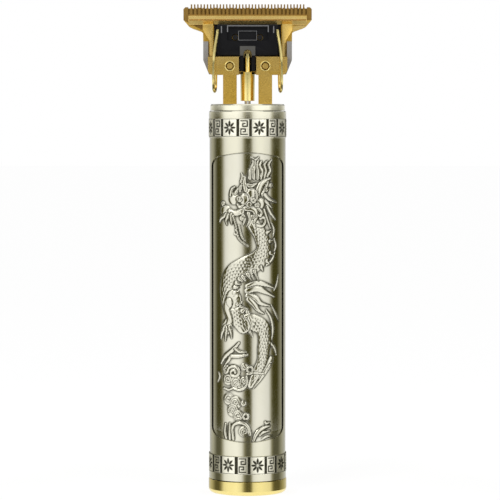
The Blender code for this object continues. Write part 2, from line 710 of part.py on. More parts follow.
def make_motor():
    can = flatted_rod("motor_can", MOTOR_R, MOTOR_HALF_Y, MOTOR_LOW, MOTOR_TOP, MOTOR_STEEL)
    boss = rod("motor_boss", MOTOR_BOSS_R, (0, 0, MOTOR_TOP - 0.5),
               (0, 0, MOTOR_TOP + MOTOR_BOSS), sides=32)
    combine(can, boss, operation="UNION")
    inner_r, inner_y = MOTOR_R - MOTOR_WALL, MOTOR_HALF_Y - MOTOR_WALL
    combine(can,
            flatted_rod("can_bore", inner_r, inner_y, MOTOR_LOW - 1, MOTOR_TOP - MOTOR_WALL),
            rod("front_bush_seat", BUSH_R + PRESS_GAP, (0, 0, MOTOR_TOP - 2),
                (0, 0, MOTOR_TOP + 3)))
    bell = flatted_rod("motor_end_bell", inner_r - SEAT_GAP, inner_y - SEAT_GAP,
                       BELL_LOW, BELL_TOP, BLACK_PLASTIC)
    combine(bell, rod("rear_bush_seat", BUSH_R + PRESS_GAP, (0, 0, BELL_LOW - 1),
                      (0, 0, BELL_TOP + 1)))
    bush_bore = SHAFT_R + SHAFT_FIT
    tube_ring("motor_bush_front", bush_bore, BUSH_R, MOTOR_TOP - MOTOR_WALL + 0.1,
              MOTOR_TOP + MOTOR_BOSS - 0.2, BRONZE)
    tube_ring("motor_bush_rear", bush_bore, BUSH_R, BELL_LOW + 0.2, BELL_TOP - 0.3, BRONZE)

    magnet_r = inner_r - SEAT_GAP
    magnet_y = inner_y - SEAT_GAP
    for side, sign in (("left", -1), ("right", 1)):
        magnet = tube_ring(f"magnet_{side}", ROTOR_R + ROTOR_GAP, magnet_r, MAGNET_LOW,
                           MAGNET_LOW + MAGNET_LENGTH, FERRITE, 40)
        xs = sorted((sign * 3.0, sign * (magnet_r + 1)))
        combine(magnet, box(f"magnet_{side}_bounds", (xs[0], -magnet_y, MAGNET_LOW - 1),
                            (xs[1], magnet_y, MAGNET_LOW + MAGNET_LENGTH + 1)),
                operation="INTERSECT")
        xs = sorted((sign * (COMMUTATOR_R + RUN_GAP), sign * (COMMUTATOR_R + RUN_GAP + 0.35)))
        box(f"brush_{side}", (xs[0], -0.8, BELL_TOP + SEAT_GAP),
            (xs[1], 0.8, COMMUTATOR_LOW + 2.2), COPPER)
        xs = sorted((sign * 4.2, sign * 5.8))
        box(f"motor_terminal_{side}", (xs[0], -0.3, BELL_LOW - TERMINAL_DROP),
            (xs[1], 0.3, BELL_LOW - SEAT_GAP / 2), COPPER)


def rotor_outline():
    """A three-pole armature: a hub, three necks and three curved shoes."""
    neck, half_span = 1.1, 47.0
    points = []
    for pole in range(3):
        turn = 120.0 * pole + 90.0
        shoe_r = ROTOR_R - SHOE_THICK
        neck_in = math.degrees(math.asin(neck / HUB_R))
        neck_out = math.degrees(math.asin(neck / shoe_r))
        points += arc((0, 0), HUB_R, turn - neck_in, turn - neck_in, 1)[:1]
        points += arc((0, 0), shoe_r, turn - neck_out, turn - half_span, 3)
        points += arc((0, 0), ROTOR_R, turn - half_span, turn + half_span, 8)
        points += arc((0, 0), shoe_r, turn + half_span, turn + neck_out, 3)
        points += arc((0, 0), HUB_R, turn + neck_in, turn + neck_in, 1)[:1]
    return points


def make_rotor(parent):
    shaft = rod("motor_shaft", SHAFT_R, (0, 0, BELL_LOW + 0.1), (0, 0, CAM_TOP - 1.3),
                BRIGHT_STEEL, 20)
    bore = SHAFT_R + PRESS_GAP
    core = level_plate("rotor_core", [rotor_outline(), circle((0, 0), bore)],
                       ROTOR_LOW, ROTOR_LOW + ROTOR_LENGTH, LAMINATION)
    pieces = [shaft, core]
    coil_half = 2.1
    coil_top = math.sqrt((ROTOR_R - SHOE_THICK - SEAT_GAP) ** 2 - coil_half ** 2)
    for pole in range(3):
        coil = box(f"rotor_coil_{pole + 1}", (-coil_half, HUB_R + 0.15, ROTOR_LOW - 1.4),
                   (coil_half, coil_top, ROTOR_LOW + ROTOR_LENGTH + 1.4), COPPER)
        neck = box(f"coil_{pole + 1}_window", (-1.25, 1.0, ROTOR_LOW - 0.2),
                   (1.25, ROTOR_R + 1, ROTOR_LOW + ROTOR_LENGTH + 0.2))
        combine(coil, neck)
        turn = Matrix.Rotation(math.radians(120.0 * pole), 4, "Z")
        for obj in (coil, neck):
            obj.matrix_world = turn @ Matrix.Translation(obj.location)
        pieces.append(coil)
    pieces.append(tube_ring("commutator", bore, COMMUTATOR_R, COMMUTATOR_LOW,
                            COMMUTATOR_LOW + 2.6, COPPER, 24))
    cam = rod("eccentric_cam", CAM_R, (0, 0, CAM_LOW), (0, 0, CAM_TOP), POLISHED_GOLD, 32)
    pin = rod("drive_pin", PIN_R, (0, -ECCENTRICITY, CAM_TOP - 0.5),
              (0, -ECCENTRICITY, PIN_TOP), sides=20)
    combine(cam, pin, operation="UNION")
    combine(cam, rod("cam_bore", bore, (0, 0, CAM_LOW - 1), (0, 0, CAM_TOP - 1.1), sides=20))
    pieces.append(cam)
    carry(pieces, parent)


# ---------------------------------------------------------------- plates and screws
def screw(name, head_at, tip_at, material=BRIGHT_STEEL):
    """A pan-head screw; head_at is the underside of its head."""
    head_at, tip_at = Vector(head_at), Vector(tip_at)
    away = (head_at - tip_at).normalized()
    body = rod(name, SCREW_R, tip_at, head_at + away * 0.3, material, 16)
    head = rod(name + "_head", SCREW_HEAD_R, head_at, head_at + away * SCREW_HEAD, sides=24)
    combine(body, head, operation="UNION")
    top = head_at + away * SCREW_HEAD
    depth = away * 0.5
    half_size = Vector((SCREW_HEAD_R * 0.75, 0.22, 0.22)) + Vector(map(abs, depth))
    combine(body, box(name + "_slot", top - half_size, top + half_size))
    return body


def make_bracket():
    bracket = tube_ring("motor_bracket", MOTOR_BOSS_R + WALL_GAP, INNER_R, BRACKET_LOW,
                        BRACKET_TOP, MOTOR_STEEL, 48)
    can = bpy.data.objects["motor_can"]
    hole_r = SCREW_R + WALL_GAP
    head_seat = BRACKET_TOP - SCREW_HEAD - SEAT_GAP / 2
    for side, x in (("left", -MOTOR_SCREW_X), ("right", MOTOR_SCREW_X)):
        hole = rod(f"motor_screw_hole_{side}", hole_r, (x, 0, MOTOR_TOP - 2),
                   (x, 0, BRACKET_TOP + 1), sides=16)
        bore = rod(f"motor_screw_bore_{side}", SCREW_HEAD_R + SEAT_GAP,
                   (x, 0, head_seat - SEAT_GAP), (x, 0, BRACKET_TOP + 1))
        combine(bracket, hole, bore)
        combine(can, hole)
        screw(f"motor_screw_{side}", (x, 0, head_seat), (x, 0, MOTOR_TOP - 1.5))
    for side, y in (("front", -FRAME_SCREW_Y), ("rear", FRAME_SCREW_Y)):
        combine(bracket, rod(f"bracket_thread_{side}", hole_r, (0, y, BRACKET_LOW - 1),
                             (0, y, BRACKET_TOP + 1), sides=16))


def seat_outline(sign):
    """One half of the blade seat, as (x, z), with its lower outer corner rounded."""
    corner = arc((SEAT_HALF_X - SEAT_ROUND, SEAT_LOW + SEAT_ROUND), SEAT_ROUND, 270, 360, 5)
    points = [(SEAT_INNER_X, SEAT_LOW), *corner, (SEAT_HALF_X, SEAT_TOP), (SEAT_INNER_X, SEAT_TOP)]
    return [(sign * x, z) for x, z in points][::sign]


def make_head_frame():
    frame = tube_ring("head_frame", SEAL_SEAT_R, INNER_R, FRAME_LOW, FRAME_TOP,
                      TITANIUM_GOLD, 48)
    seat_back = SEAT_FRONT_Y + SEAT_THICK
    hole_r = SCREW_R + WALL_GAP
    for side, sign in (("left", -1), ("right", 1)):
        xs = sorted((sign * POST_INNER_X, sign * POST_OUTER_X))
        post = box(f"post_{side}", (xs[0], SEAT_FRONT_Y, FRAME_TOP - 1),
                   (xs[1], SEAT_FRONT_Y + POST_DEPTH, SEAT_LOW - WALL_GAP))
        tongue = box(f"post_tongue_{side}", (xs[0], SEAT_FRONT_Y, SEAT_LOW - 2),
                     (xs[1], seat_back, SEAT_LOW + 1))
        seat = upright_plate(f"seat_{side}", [seat_outline(sign)], SEAT_FRONT_Y, seat_back)
        combine(frame, post, tongue, seat, operation="UNION")
        combine(frame, rod(f"seat_thread_{side}", hole_r,
                           (sign * BLADE_SCREW_X, SEAT_FRONT_Y - 1, BLADE_SCREW_Z),
                           (sign * BLADE_SCREW_X, seat_back + 1, BLADE_SCREW_Z), sides=20))
    head_seat = FRAME_TOP - SCREW_HEAD - SEAT_GAP / 2
    for side, y in (("front", -FRAME_SCREW_Y), ("rear", FRAME_SCREW_Y)):
        hole = rod(f"frame_screw_hole_{side}", hole_r, (0, y, FRAME_LOW - 1),
                   (0, y, FRAME_TOP + 1), sides=16)
        bore = rod(f"frame_screw_bore_{side}", SCREW_HEAD_R + SEAT_GAP,
                   (0, y, head_seat - SEAT_GAP), (0, y, FRAME_TOP + 1))
        combine(frame, hole, bore)
        screw(f"frame_screw_{side}", (0, y, head_seat), (0, y, BRACKET_LOW + 0.5))


# ---------------------------------------------------------------- blades
def toothed_edge(half_span, pitch, gap, root, tip):
    """Points of a row of teeth from -half_span to half_span, tapering to their tips."""
    count = int(2 * half_span / pitch)
    start = -count * pitch / 2
    points = []
    for i in range(count):
        left = start + i * pitch
        points += [(left + gap / 2, root), (left + gap / 2 + 0.08, tip),
                   (left + pitch - gap / 2 - 0.08, tip), (left + pitch - gap / 2, root)]
    return points


def comb_outline():
    guard_in = BLADE_HALF_X - COMB_GUARD
    guard_tip = BLADE_TIP - GUARD_BACK
    wing = COMB_ROOT - WING_DROP
    leg_low = BASE_LOW
    leg_foot = BASE_HALF_X - 1.75
    right = [
        (leg_foot, leg_low),
        (BASE_HALF_X, leg_low + 4.3),
        (COMB_LEG_HALF_X, wing - 1.9),
        (COMB_LEG_HALF_X + 0.6, wing - 1.5),
        (COMB_LEG_HALF_X + 3.2, wing - 0.6),
        (BLADE_HALF_X - 1.8, wing),
        (BLADE_HALF_X, wing + 2.1),
        (BLADE_HALF_X, guard_tip - 0.6),
        (BLADE_HALF_X - 0.6, guard_tip),
        (guard_in, guard_tip),
        (guard_in, COMB_ROOT),
    ]
    teeth = toothed_edge(guard_in - COMB_GAP, COMB_PITCH, COMB_GAP, COMB_ROOT, BLADE_TIP)
    return [*right, *reversed(teeth), *[(-x, z) for x, z in reversed(right)]]


def adjusting_slot(sign):
    half, length = SCREW_R + WALL_GAP, 0.5
    x = sign * BLADE_SCREW_X
    top = arc((x, BLADE_SCREW_Z + length), half, 0, 180, 6)
    return top + arc((x, BLADE_SCREW_Z - length), half, 180, 360, 6)


def make_comb():
    comb = upright_plate("comb_blade", [comb_outline(), adjusting_slot(-1), adjusting_slot(1)],
                         COMB_FRONT_Y, COMB_BACK_Y, TITANIUM_GOLD)
    rail_out = RAIL_INNER_X + RAIL_THICK
    rail_low = BASE_TOP + SEAT_GAP
    rail_top = CUTTER_LOW - RUN_GAP
    flare = CHEEK_TOP + SEAT_GAP
    for side, sign in (("left", -1), ("right", 1)):
        points = [(RAIL_INNER_X, rail_low), (rail_out, rail_low), (rail_out, flare),
                  (COMB_LEG_HALF_X, flare + 3.3), (COMB_LEG_HALF_X, rail_top),
                  (RAIL_INNER_X, rail_top)]
        outline = [(sign * x, z) for x, z in points][::sign]
        rail = upright_plate(f"comb_rail_{side}", [outline], BASE_FRONT_Y + 1.5,
                             COMB_FRONT_Y + 0.5)
        combine(comb, rail, operation="UNION")


def make_cutter(parent):
    teeth = toothed_edge(CUTTER_HALF_X, CUTTER_PITCH, CUTTER_GAP, CUTTER_ROOT, CUTTER_TIP)
    leg_half = CARRIER_HALF_X - 1.4
    leg_low = CARRIER_LOW + 2.5
    end_low = CUTTER_LOW + 0.3
    outline = [(-leg_half, CUTTER_LOW), (-leg_half, leg_low), (leg_half, leg_low),
               (leg_half, CUTTER_LOW), (CUTTER_HALF_X, end_low), (CUTTER_HALF_X, CUTTER_ROOT),
               *reversed(teeth), (-CUTTER_HALF_X, CUTTER_ROOT), (-CUTTER_HALF_X, end_low)]
    cutter_back = CUTTER_FRONT_Y + CUTTER_THICK
    cutter = upright_plate("cutter_blade", [outline], CUTTER_FRONT_Y, cutter_back,
                           TITANIUM_GOLD)
    front = cutter_back - CUTTER_BAR_THICK
    inside = CUTTER_FRONT_Y + 0.3
    section = [(inside, CUTTER_ROOT - 0.1), (front, CUTTER_ROOT - 0.4),
               (front, CUTTER_ROOT - 1.6), (inside, CUTTER_LOW + 0.1)]
    bar = outline_solid("cutter_bar", [section], 2 * CUTTER_HALF_X - 0.2)
    # Its outline is (y, z) and it runs along X.
    bar.matrix_world = Matrix(((0, 0, 1, 0), (1, 0, 0, 0), (0, 1, 0, 0), (0, 0, 0, 1)))
    combine(cutter, bar, operation="UNION")

    carrier_top = min(CARRIER_TOP, CUTTER_LOW - WALL_GAP)
    carrier = box("cutter_carrier", (-CARRIER_HALF_X, CARRIER_FRONT_Y, CARRIER_LOW),
                  (CARRIER_HALF_X, CARRIER_BACK_Y, carrier_top), BLACK_PLASTIC, 0.3)
    fork = box("carrier_fork", (-FORK_HALF_X, CARRIER_FRONT_Y, FORK_LOW),
               (FORK_HALF_X, CARRIER_FRONT_Y + FORK_DEPTH, CARRIER_LOW + 1.0))
    head = box("carrier_fork_head", (-FORK_HALF_X, CARRIER_FRONT_Y - FORK_PROUD, CARRIER_LOW + 0.05),
               (FORK_HALF_X, CARRIER_FRONT_Y + 1.0, CARRIER_LOW + FORK_HEAD))
    combine(carrier, fork, head, operation="UNION")
    slot_top = PIN_TOP + SLOT_HALF_X
    slot = [(-SLOT_HALF_X, FORK_LOW - 1), (SLOT_HALF_X, FORK_LOW - 1),
            *arc((0, slot_top - SLOT_HALF_X), SLOT_HALF_X, 0, 180, 8)]
    combine(carrier,
            upright_plate("fork_slot", [slot], CARRIER_FRONT_Y - 1, CARRIER_BACK_Y + 1),
            box("carrier_recess", (-6.3, CARRIER_FRONT_Y - 1, carrier_top - 5.0),
                (6.3, CARRIER_FRONT_Y + 0.5, carrier_top - 1.0)))
    pieces = [cutter, carrier]
    rivet_z = CUTTER_LOW - 4.5
    for side, x in (("left", -RIVET_X), ("right", RIVET_X)):
        hole = rod(f"rivet_hole_{side}", RIVET_R + SEAT_GAP, (x, CARRIER_FRONT_Y - 1, rivet_z),
                   (x, cutter_back + 1, rivet_z), sides=16)
        combine(carrier, hole)
        combine(cutter, hole)
        pieces.append(rod(f"cutter_rivet_{side}", RIVET_R, (x, CARRIER_FRONT_Y + 0.2, rivet_z),
                          (x, cutter_back - 0.1, rivet_z), BLACK_PLASTIC, 16))
    carry(pieces, parent)


def make_blade_base():
    chamfer_z = BASE_LOW + 4.3
    right = [(BASE_HALF_X - 1.75, BASE_LOW), (BASE_HALF_X, chamfer_z), (BASE_HALF_X, CHEEK_TOP),
             (CHEEK_INNER_X, CHEEK_TOP), (CHEEK_INNER_X, BASE_TOP)]
    base = upright_plate("blade_base", [mirrored(right)], BASE_FRONT_Y, BASE_BACK_Y,
                         BLACK_PLASTIC)
    sweep = FORK_HALF_X + ECCENTRICITY + RUN_GAP
    fork_room = box("fork_room", (-sweep, BASE_FRONT_Y - 1, BASE_LOW - 1),
                    (sweep, CARRIER_FRONT_Y + FORK_DEPTH + RUN_GAP, BASE_TOP + 1))
    cam_room = box("cam_room", (-sweep, BASE_FRONT_Y - 1, BASE_LOW - 1),
                   (sweep, BASE_BACK_Y + 1, CAM_TOP + RUN_GAP))
    combine(base, fork_room, cam_room)
    for side, sign in (("left", -1), ("right", 1)):
        xs = sorted((sign * UPSTAND_IN_X, sign * UPSTAND_OUT_X))
        combine(base, box(f"base_upstand_{side}", (xs[0], BASE_BACK_Y - UPSTAND_THICK, BASE_TOP - 1),
                          (xs[1], BASE_BACK_Y - 0.05, UPSTAND_TOP)), operation="UNION")
        combine(base,
                rod(f"base_screw_hole_{side}", SCREW_R + WALL_GAP,
                    (sign * BLADE_SCREW_X, BASE_FRONT_Y - 1, BLADE_SCREW_Z),
                    (sign * BLADE_SCREW_X, BASE_BACK_Y + 1, BLADE_SCREW_Z), sides=16),
                rod(f"spring_socket_{side}", SPRING_R + WALL_GAP,
                    (sign * SPRING_ANCHOR_X, SPRING_ANCHOR_Y, BASE_LOW - 1),
                    (sign * SPRING_ANCHOR_X, SPRING_ANCHOR_Y, BASE_LOW + 3.4), sides=12))


def make_springs():
    """Each hairpin spring rises from its socket's loop, passes over the seat and bears on the carrier."""
    front = SEAT_FRONT_Y - WALL_GAP - SPRING_R
    touch = CARRIER_FRONT_Y - SEAT_GAP - SPRING_R
    loop = SEAT_LOW - SPRING_DROP
    middle = (SPRING_ANCHOR_Y + front) / 2
    tip_z = CUTTER_LOW - 2.6
    for side, sign in (("left", -1), ("right", 1)):
        route = [
            (SPRING_ANCHOR_X, SPRING_ANCHOR_Y, BASE_LOW + 3.0),
            (SPRING_ANCHOR_X, SPRING_ANCHOR_Y, SEAT_LOW - 0.6),
            (SPRING_ANCHOR_X + 0.05, SPRING_ANCHOR_Y, loop + 2.1),
            (SPRING_ANCHOR_X + 0.15, SPRING_ANCHOR_Y - 0.45, loop + 0.6),
            (SPRING_ANCHOR_X + 0.32, middle, loop),
            (SPRING_X - 0.1, front + 0.45, loop + 0.6),
            (SPRING_X, front, loop + 2.1),
            (SPRING_X, front, SEAT_LOW + 1.0),
            (SPRING_X - 0.1, front, SEAT_TOP - 1.0),
            (SPRING_X - 0.45, front + 0.75, SEAT_TOP + 3.0),
            (SPRING_TIP_X + 0.15, touch, tip_z - 1.0),
            (SPRING_TIP_X, touch, tip_z + 0.5),
        ]
        wire(f"tension_spring_{side}", [(sign * x, y, z) for x, y, z in route], SPRING_R,
             POLISHED_GOLD)


def make_blade_screws():
    for side, sign in (("left", -1), ("right", 1)):
        x = sign * BLADE_SCREW_X
        screw(f"blade_screw_{side}", (x, COMB_BACK_Y + SEAT_GAP, BLADE_SCREW_Z),
              (x, SEAT_FRONT_Y + 0.4, BLADE_SCREW_Z), TITANIUM_GOLD)


# ---------------------------------------------------------------- assembly
def empty_at(name, place):
    holder = bpy.data.objects.new(name, None)
    holder.location = Vector(place) * MM
    PARTS.objects.link(holder)
    return holder


def carry(pieces, parent):
    """Parents the pieces to an empty on their joint's axis, without moving them."""
    bpy.context.view_layer.update()
    for piece in pieces:
        piece.parent = parent
        piece.matrix_parent_inverse = parent.matrix_world.inverted()


def main():
    make_tube()
    make_end_cap()
    make_charging_socket()
    make_collar()
    make_core()
    make_battery()
    make_board()
    make_leads()
    make_switch()
    make_motor()
    make_rotor(empty_at("motor_axis", (0, 0, MOTOR_LOW)))
    make_bracket()
    make_head_frame()
    make_comb()
    make_cutter(empty_at("cutter_slide_axis", (0, CUTTER_FRONT_Y, CUTTER_ROOT)))
    make_blade_base()
    make_springs()
    make_blade_screws()
    carry([bpy.data.objects["switch_knob"]],
          empty_at("switch_slide_axis", (0, BAND_R, SWITCH_Z - SWITCH_TRAVEL / 2)))


main()
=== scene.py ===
# %% [markdown]
# # A beard trimmer with an embossed barrel
# The solid model already holds the true sizes, joints and fits. This lesson dresses it: it rounds
# the edges that a tool would break, raises the embossed panel and the two patterned bands, and
# gives every piece the finish of its real metal or plastic. Lengths are written in millimetres and
# MM turns them into Blender's metres.

import json
import math

import bmesh
import bpy
import numpy as np
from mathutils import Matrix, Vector


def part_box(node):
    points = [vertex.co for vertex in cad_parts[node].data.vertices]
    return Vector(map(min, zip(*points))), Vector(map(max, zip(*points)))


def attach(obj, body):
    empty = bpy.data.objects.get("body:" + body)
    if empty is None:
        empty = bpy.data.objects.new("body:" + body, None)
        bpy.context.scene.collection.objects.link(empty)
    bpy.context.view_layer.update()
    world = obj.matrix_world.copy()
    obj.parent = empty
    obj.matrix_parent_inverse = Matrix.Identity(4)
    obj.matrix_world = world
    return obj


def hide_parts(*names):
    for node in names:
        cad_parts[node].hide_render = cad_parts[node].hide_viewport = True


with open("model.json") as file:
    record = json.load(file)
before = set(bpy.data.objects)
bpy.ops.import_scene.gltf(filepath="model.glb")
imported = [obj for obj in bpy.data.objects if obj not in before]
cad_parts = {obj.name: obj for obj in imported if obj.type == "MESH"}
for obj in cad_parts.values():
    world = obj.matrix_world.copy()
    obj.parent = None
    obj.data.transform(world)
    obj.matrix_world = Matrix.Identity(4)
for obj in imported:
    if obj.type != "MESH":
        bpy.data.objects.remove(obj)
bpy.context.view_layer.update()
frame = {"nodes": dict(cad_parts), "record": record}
scene = bpy.context.scene
MM = 0.001
bodies = frame["record"]["behaviour"]["bodies"]
BODY_OF = {node: body for body, nodes in bodies.items() for node in nodes}
SLOT_OF = {part["node"]: part["material_slot"] for part in frame["record"]["subparts"]}

# %% [markdown]
# ## Sizes read from the model
# Nothing is placed by eye. The barrel's radius and heights come from the boxes of its nodes, so a
# changed model moves everything that is laid on it.

# %% Read the sizes
def span(node, axis):
    """Lowest and highest value of a node along an axis, in millimetres."""
    low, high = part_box(node)
    return low["xyz".index(axis)] / MM, high["xyz".index(axis)] / MM


TUBE_LOW, TUBE_TOP = span("body_tube", "z")
BAND_R = span("body_tube", "x")[1]
PANEL_SINK = 0.55
PANEL_FOOT = 12.0
PANEL_HEAD = 12.7
FLOOR_R = BAND_R - PANEL_SINK
PANEL_LOW = TUBE_LOW + PANEL_FOOT
PANEL_TOP = TUBE_TOP - PANEL_HEAD
PANEL_HALF_X = 11.15
PANEL_CORNER = 3.5
PANEL_ARCH = 0.9
print("barrel radius", round(BAND_R, 2))
print("panel from", round(PANEL_LOW, 2), "to", round(PANEL_TOP, 2))

# %% [markdown]
# ## Camera
# The trimmer is seen from straight ahead through a long lens, from a little above its middle, so
# the rings near the foot bow gently downwards and those near the head are almost straight.

# %% Place the camera
CAMERA_DISTANCE = 820.0
CAMERA_HEIGHT = 115.8
AIM_HEIGHT = 75.6
AIM_X = 0.75
LENS = 189.6


def make_camera():
    data = bpy.data.cameras.new("camera")
    data.lens = LENS
    data.sensor_width = 36.0
    camera = bpy.data.objects.new("camera", data)
    camera.location = (AIM_X * MM, -CAMERA_DISTANCE * MM, CAMERA_HEIGHT * MM)
    aim = Vector((AIM_X, 0.0, AIM_HEIGHT)) * MM - camera.location
    camera.rotation_mode = "QUATERNION"
    camera.rotation_quaternion = aim.to_track_quat("-Z", "Y")
    scene.collection.objects.link(camera)
    scene.camera = camera


make_camera()
print("camera", CAMERA_DISTANCE, "mm away, lens", LENS)

# %% [markdown]
# ## Studio
# Metal looks like what it reflects. A light tent stands round the trimmer: bright cloth to the left
# and right of the camera, a dark gap behind the camera and darker cloth at the sides, so the
# barrel shows long bright bands with dark edges. The tent is a ring of cloth whose brightness
# follows the angle round it and the height, because the head is lit apart from the barrel, and it
# isn't seen directly. A close ring of dark cloth round the foot keeps the white floor out of the
# gold cap. The floor and the world are white.

# %% Helpers for nodes
def node_of(tree, kind, inputs=None, **settings):
    """Adds a node, sets its properties, and sets or links its inputs."""
    node = tree.nodes.new(kind)
    for key, value in settings.items():
        setattr(node, key, value)
    for key, value in (inputs or {}).items():
        if isinstance(value, bpy.types.NodeSocket):
            tree.links.new(value, node.inputs[key])
        else:
            node.inputs[key].default_value = value
    return node


def maths(tree, operation, *values, clamp=False):
    node = node_of(tree, "ShaderNodeMath", dict(enumerate(values)), operation=operation)
    node.use_clamp = clamp
    return node.outputs[0]


def ramp(tree, fac, stops):
    """A colour ramp from (position, colour) stops."""
    node = node_of(tree, "ShaderNodeValToRGB", {"Fac": fac})
    elements = node.color_ramp.elements
    while len(elements) < len(stops):
        elements.new(1.0)
    for element, (position, colour) in zip(elements, stops):
        element.position = position
        element.color = (*colour, 1.0) if len(colour) == 3 else colour
    return node.outputs["Color"]


def blend(tree, fac, first, second):
    """Mixes two colours. Either may be a plain (r, g, b)."""
    node = node_of(tree, "ShaderNodeMix", data_type="RGBA")
    for socket, value in ((node.inputs[0], fac), (node.inputs[6], first), (node.inputs[7], second)):
        if isinstance(value, bpy.types.NodeSocket):
            tree.links.new(value, socket)
        elif isinstance(value, tuple):
            socket.default_value = (*value, 1.0)
        else:
            socket.default_value = value
    return node.outputs[2]


def grey(value):
    return (value, value, value)
print("ready:", "helpers for nodes")

# %% Light tent, floor and world
TENT = (90.0, 8.0, 330.0)        # radius, low edge, top edge
FOOT_CLOTH = (15.5, 0.2, 19.0)
HEAD_LOW = 119.0
HEAD_TOP = 122.0
OLIVE = (0.055, 0.05, 0.012)
SHADE = (0.20, 0.185, 0.10)
# What the barrel mirrors, by the angle of the mirrored ray from straight ahead, in degrees.
BARREL_STOPS = [
    (-180, grey(0.55)), (-158, grey(0.6)), (-131, (0.40, 0.39, 0.32)), (-109, OLIVE), (-93, OLIVE),
    (-86, SHADE), (-73, grey(0.86)), (-59, grey(1.0)), (-32, grey(1.05)), (-19, grey(0.86)),
    (-9, SHADE), (-3, OLIVE), (7, OLIVE), (11, SHADE), (17, grey(0.8)), (29, grey(0.98)),
    (42, grey(1.0)), (55, grey(0.92)), (70, grey(0.84)), (80, SHADE), (87, OLIVE), (107, OLIVE),
    (125, (0.28, 0.27, 0.2)), (161, grey(0.66)), (180, grey(0.55)),
]
HEAD_STOPS = [
    (-180, grey(0.6)), (-120, grey(0.35)), (-70, grey(0.9)), (-12, grey(0.75)), (0, grey(0.6)),
    (12, grey(0.75)), (70, grey(0.9)), (120, grey(0.35)), (180, grey(0.6)),
]


def cloth_angle(ray_angle, radius):
    """Where a ray that the barrel mirrors at this angle meets a cloth of this radius."""
    lean = math.radians(ray_angle) / 2
    reach = math.sqrt(radius ** 2 - (BAND_R * math.sin(lean)) ** 2) - BAND_R * math.cos(lean)
    x = BAND_R * math.sin(lean) + reach * math.sin(2 * lean)
    ahead = BAND_R * math.cos(lean) + reach * math.cos(2 * lean)
    angle = math.degrees(math.atan2(x, ahead))
    return math.copysign(abs(angle), ray_angle)


# How bright the cloth is by height, in millimetres: strong beside the posts, dim beside the seats.
LEVELS = [(0, 1.0), (118, 1.0), (121, 1.8), (125, 1.5), (130, 0.9), (132, 0.36), (141, 0.3),
          (146, 0.34), (148.5, 1.3), (156, 1.2), (170, 0.8)]
LEVEL_SCALE = 2.0


def make_tent(name, radius, low, top, lift=0.0):
    bm = bmesh.new()
    bmesh.ops.create_cone(bm, cap_ends=False, segments=96, radius1=radius * MM,
                          radius2=radius * MM, depth=(top - low) * MM)
    mesh = bpy.data.meshes.new(name)
    bm.to_mesh(mesh)
    bm.free()
    tent = bpy.data.objects.new(name, mesh)
    tent.location.z = (top + low) / 2 * MM
    scene.collection.objects.link(tent)
    material = bpy.data.materials.new(name + "_cloth")
    material.use_nodes = True
    tree = material.node_tree
    tree.nodes.clear()
    where = node_of(tree, "ShaderNodeTexCoord").outputs["Object"]
    split = node_of(tree, "ShaderNodeSeparateXYZ", {0: where})
    ahead = maths(tree, "MULTIPLY", split.outputs["Y"], -1.0)
    turn = maths(tree, "ARCTAN2", split.outputs["X"], ahead)
    share = maths(tree, "MULTIPLY_ADD", turn, 0.5 / math.pi, 0.5)
    low_cloth, high_cloth = (
        ramp(tree, share, [(cloth_angle(angle, radius) / 360 + 0.5, colour)
                           for angle, colour in stops])
        for stops in (BARREL_STOPS, HEAD_STOPS))
    middle = (top + low) / 2
    climb = node_of(tree, "ShaderNodeMapRange", {
        "Value": split.outputs["Z"], "From Min": (HEAD_LOW - middle) * MM,
        "From Max": (HEAD_TOP - middle) * MM})
    cloth = node_of(tree, "ShaderNodeMix", data_type="RGBA")
    for socket, value in ((0, climb.outputs[0]), (6, low_cloth), (7, high_cloth)):
        tree.links.new(value, cloth.inputs[socket])
    cloth = blend(tree, lift, cloth.outputs[2], grey(1.0))
    height = maths(tree, "MULTIPLY_ADD", split.outputs["Z"], 1 / (MM * 200), middle / 200)
    level = ramp(tree, height, [(z / 200, grey(value / LEVEL_SCALE)) for z, value in LEVELS])
    strength = maths(tree, "MULTIPLY", level, LEVEL_SCALE)
    glow = node_of(tree, "ShaderNodeEmission", {"Color": cloth, "Strength": strength})
    output = node_of(tree, "ShaderNodeOutputMaterial", {"Surface": glow.outputs[0]})
    output.is_active_output = True
    mesh.materials.append(material)
    tent.visible_camera = False
    tent.visible_shadow = False


def seen_directly_or_mirrored(tree):
    """1 for the rays that show the background itself: camera, mirror and glass rays."""
    path = node_of(tree, "ShaderNodeLightPath")
    shown = maths(tree, "MAXIMUM", path.outputs["Is Camera Ray"], path.outputs["Is Glossy Ray"])
    return maths(tree, "MAXIMUM", shown, path.outputs["Is Transmission Ray"])


FLOOR_GLOW = 0.85
FLOOR_STRENGTH = 1.06


def make_floor():
    bm = bmesh.new()
    bmesh.ops.create_grid(bm, x_segments=1, y_segments=1, size=6.0)
    mesh = bpy.data.meshes.new("floor")
    bm.to_mesh(mesh)
    bm.free()
    floor = bpy.data.objects.new("floor", mesh)
    scene.collection.objects.link(floor)
    material = bpy.data.materials.new("floor_white")
    material.use_nodes = True
    tree = material.node_tree
    tree.nodes.clear()
    matt = node_of(tree, "ShaderNodeBsdfDiffuse", {"Color": (*grey(0.95), 1.0)})
    glow = node_of(tree, "ShaderNodeEmission",
                   {"Color": (*grey(1.0), 1.0), "Strength": FLOOR_STRENGTH})
    share = maths(tree, "MULTIPLY", seen_directly_or_mirrored(tree), FLOOR_GLOW)
    mixed = node_of(tree, "ShaderNodeMixShader",
                    {0: share, 1: matt.outputs[0], 2: glow.outputs[0]})
    node_of(tree, "ShaderNodeOutputMaterial", {"Surface": mixed.outputs[0]})
    mesh.materials.append(material)


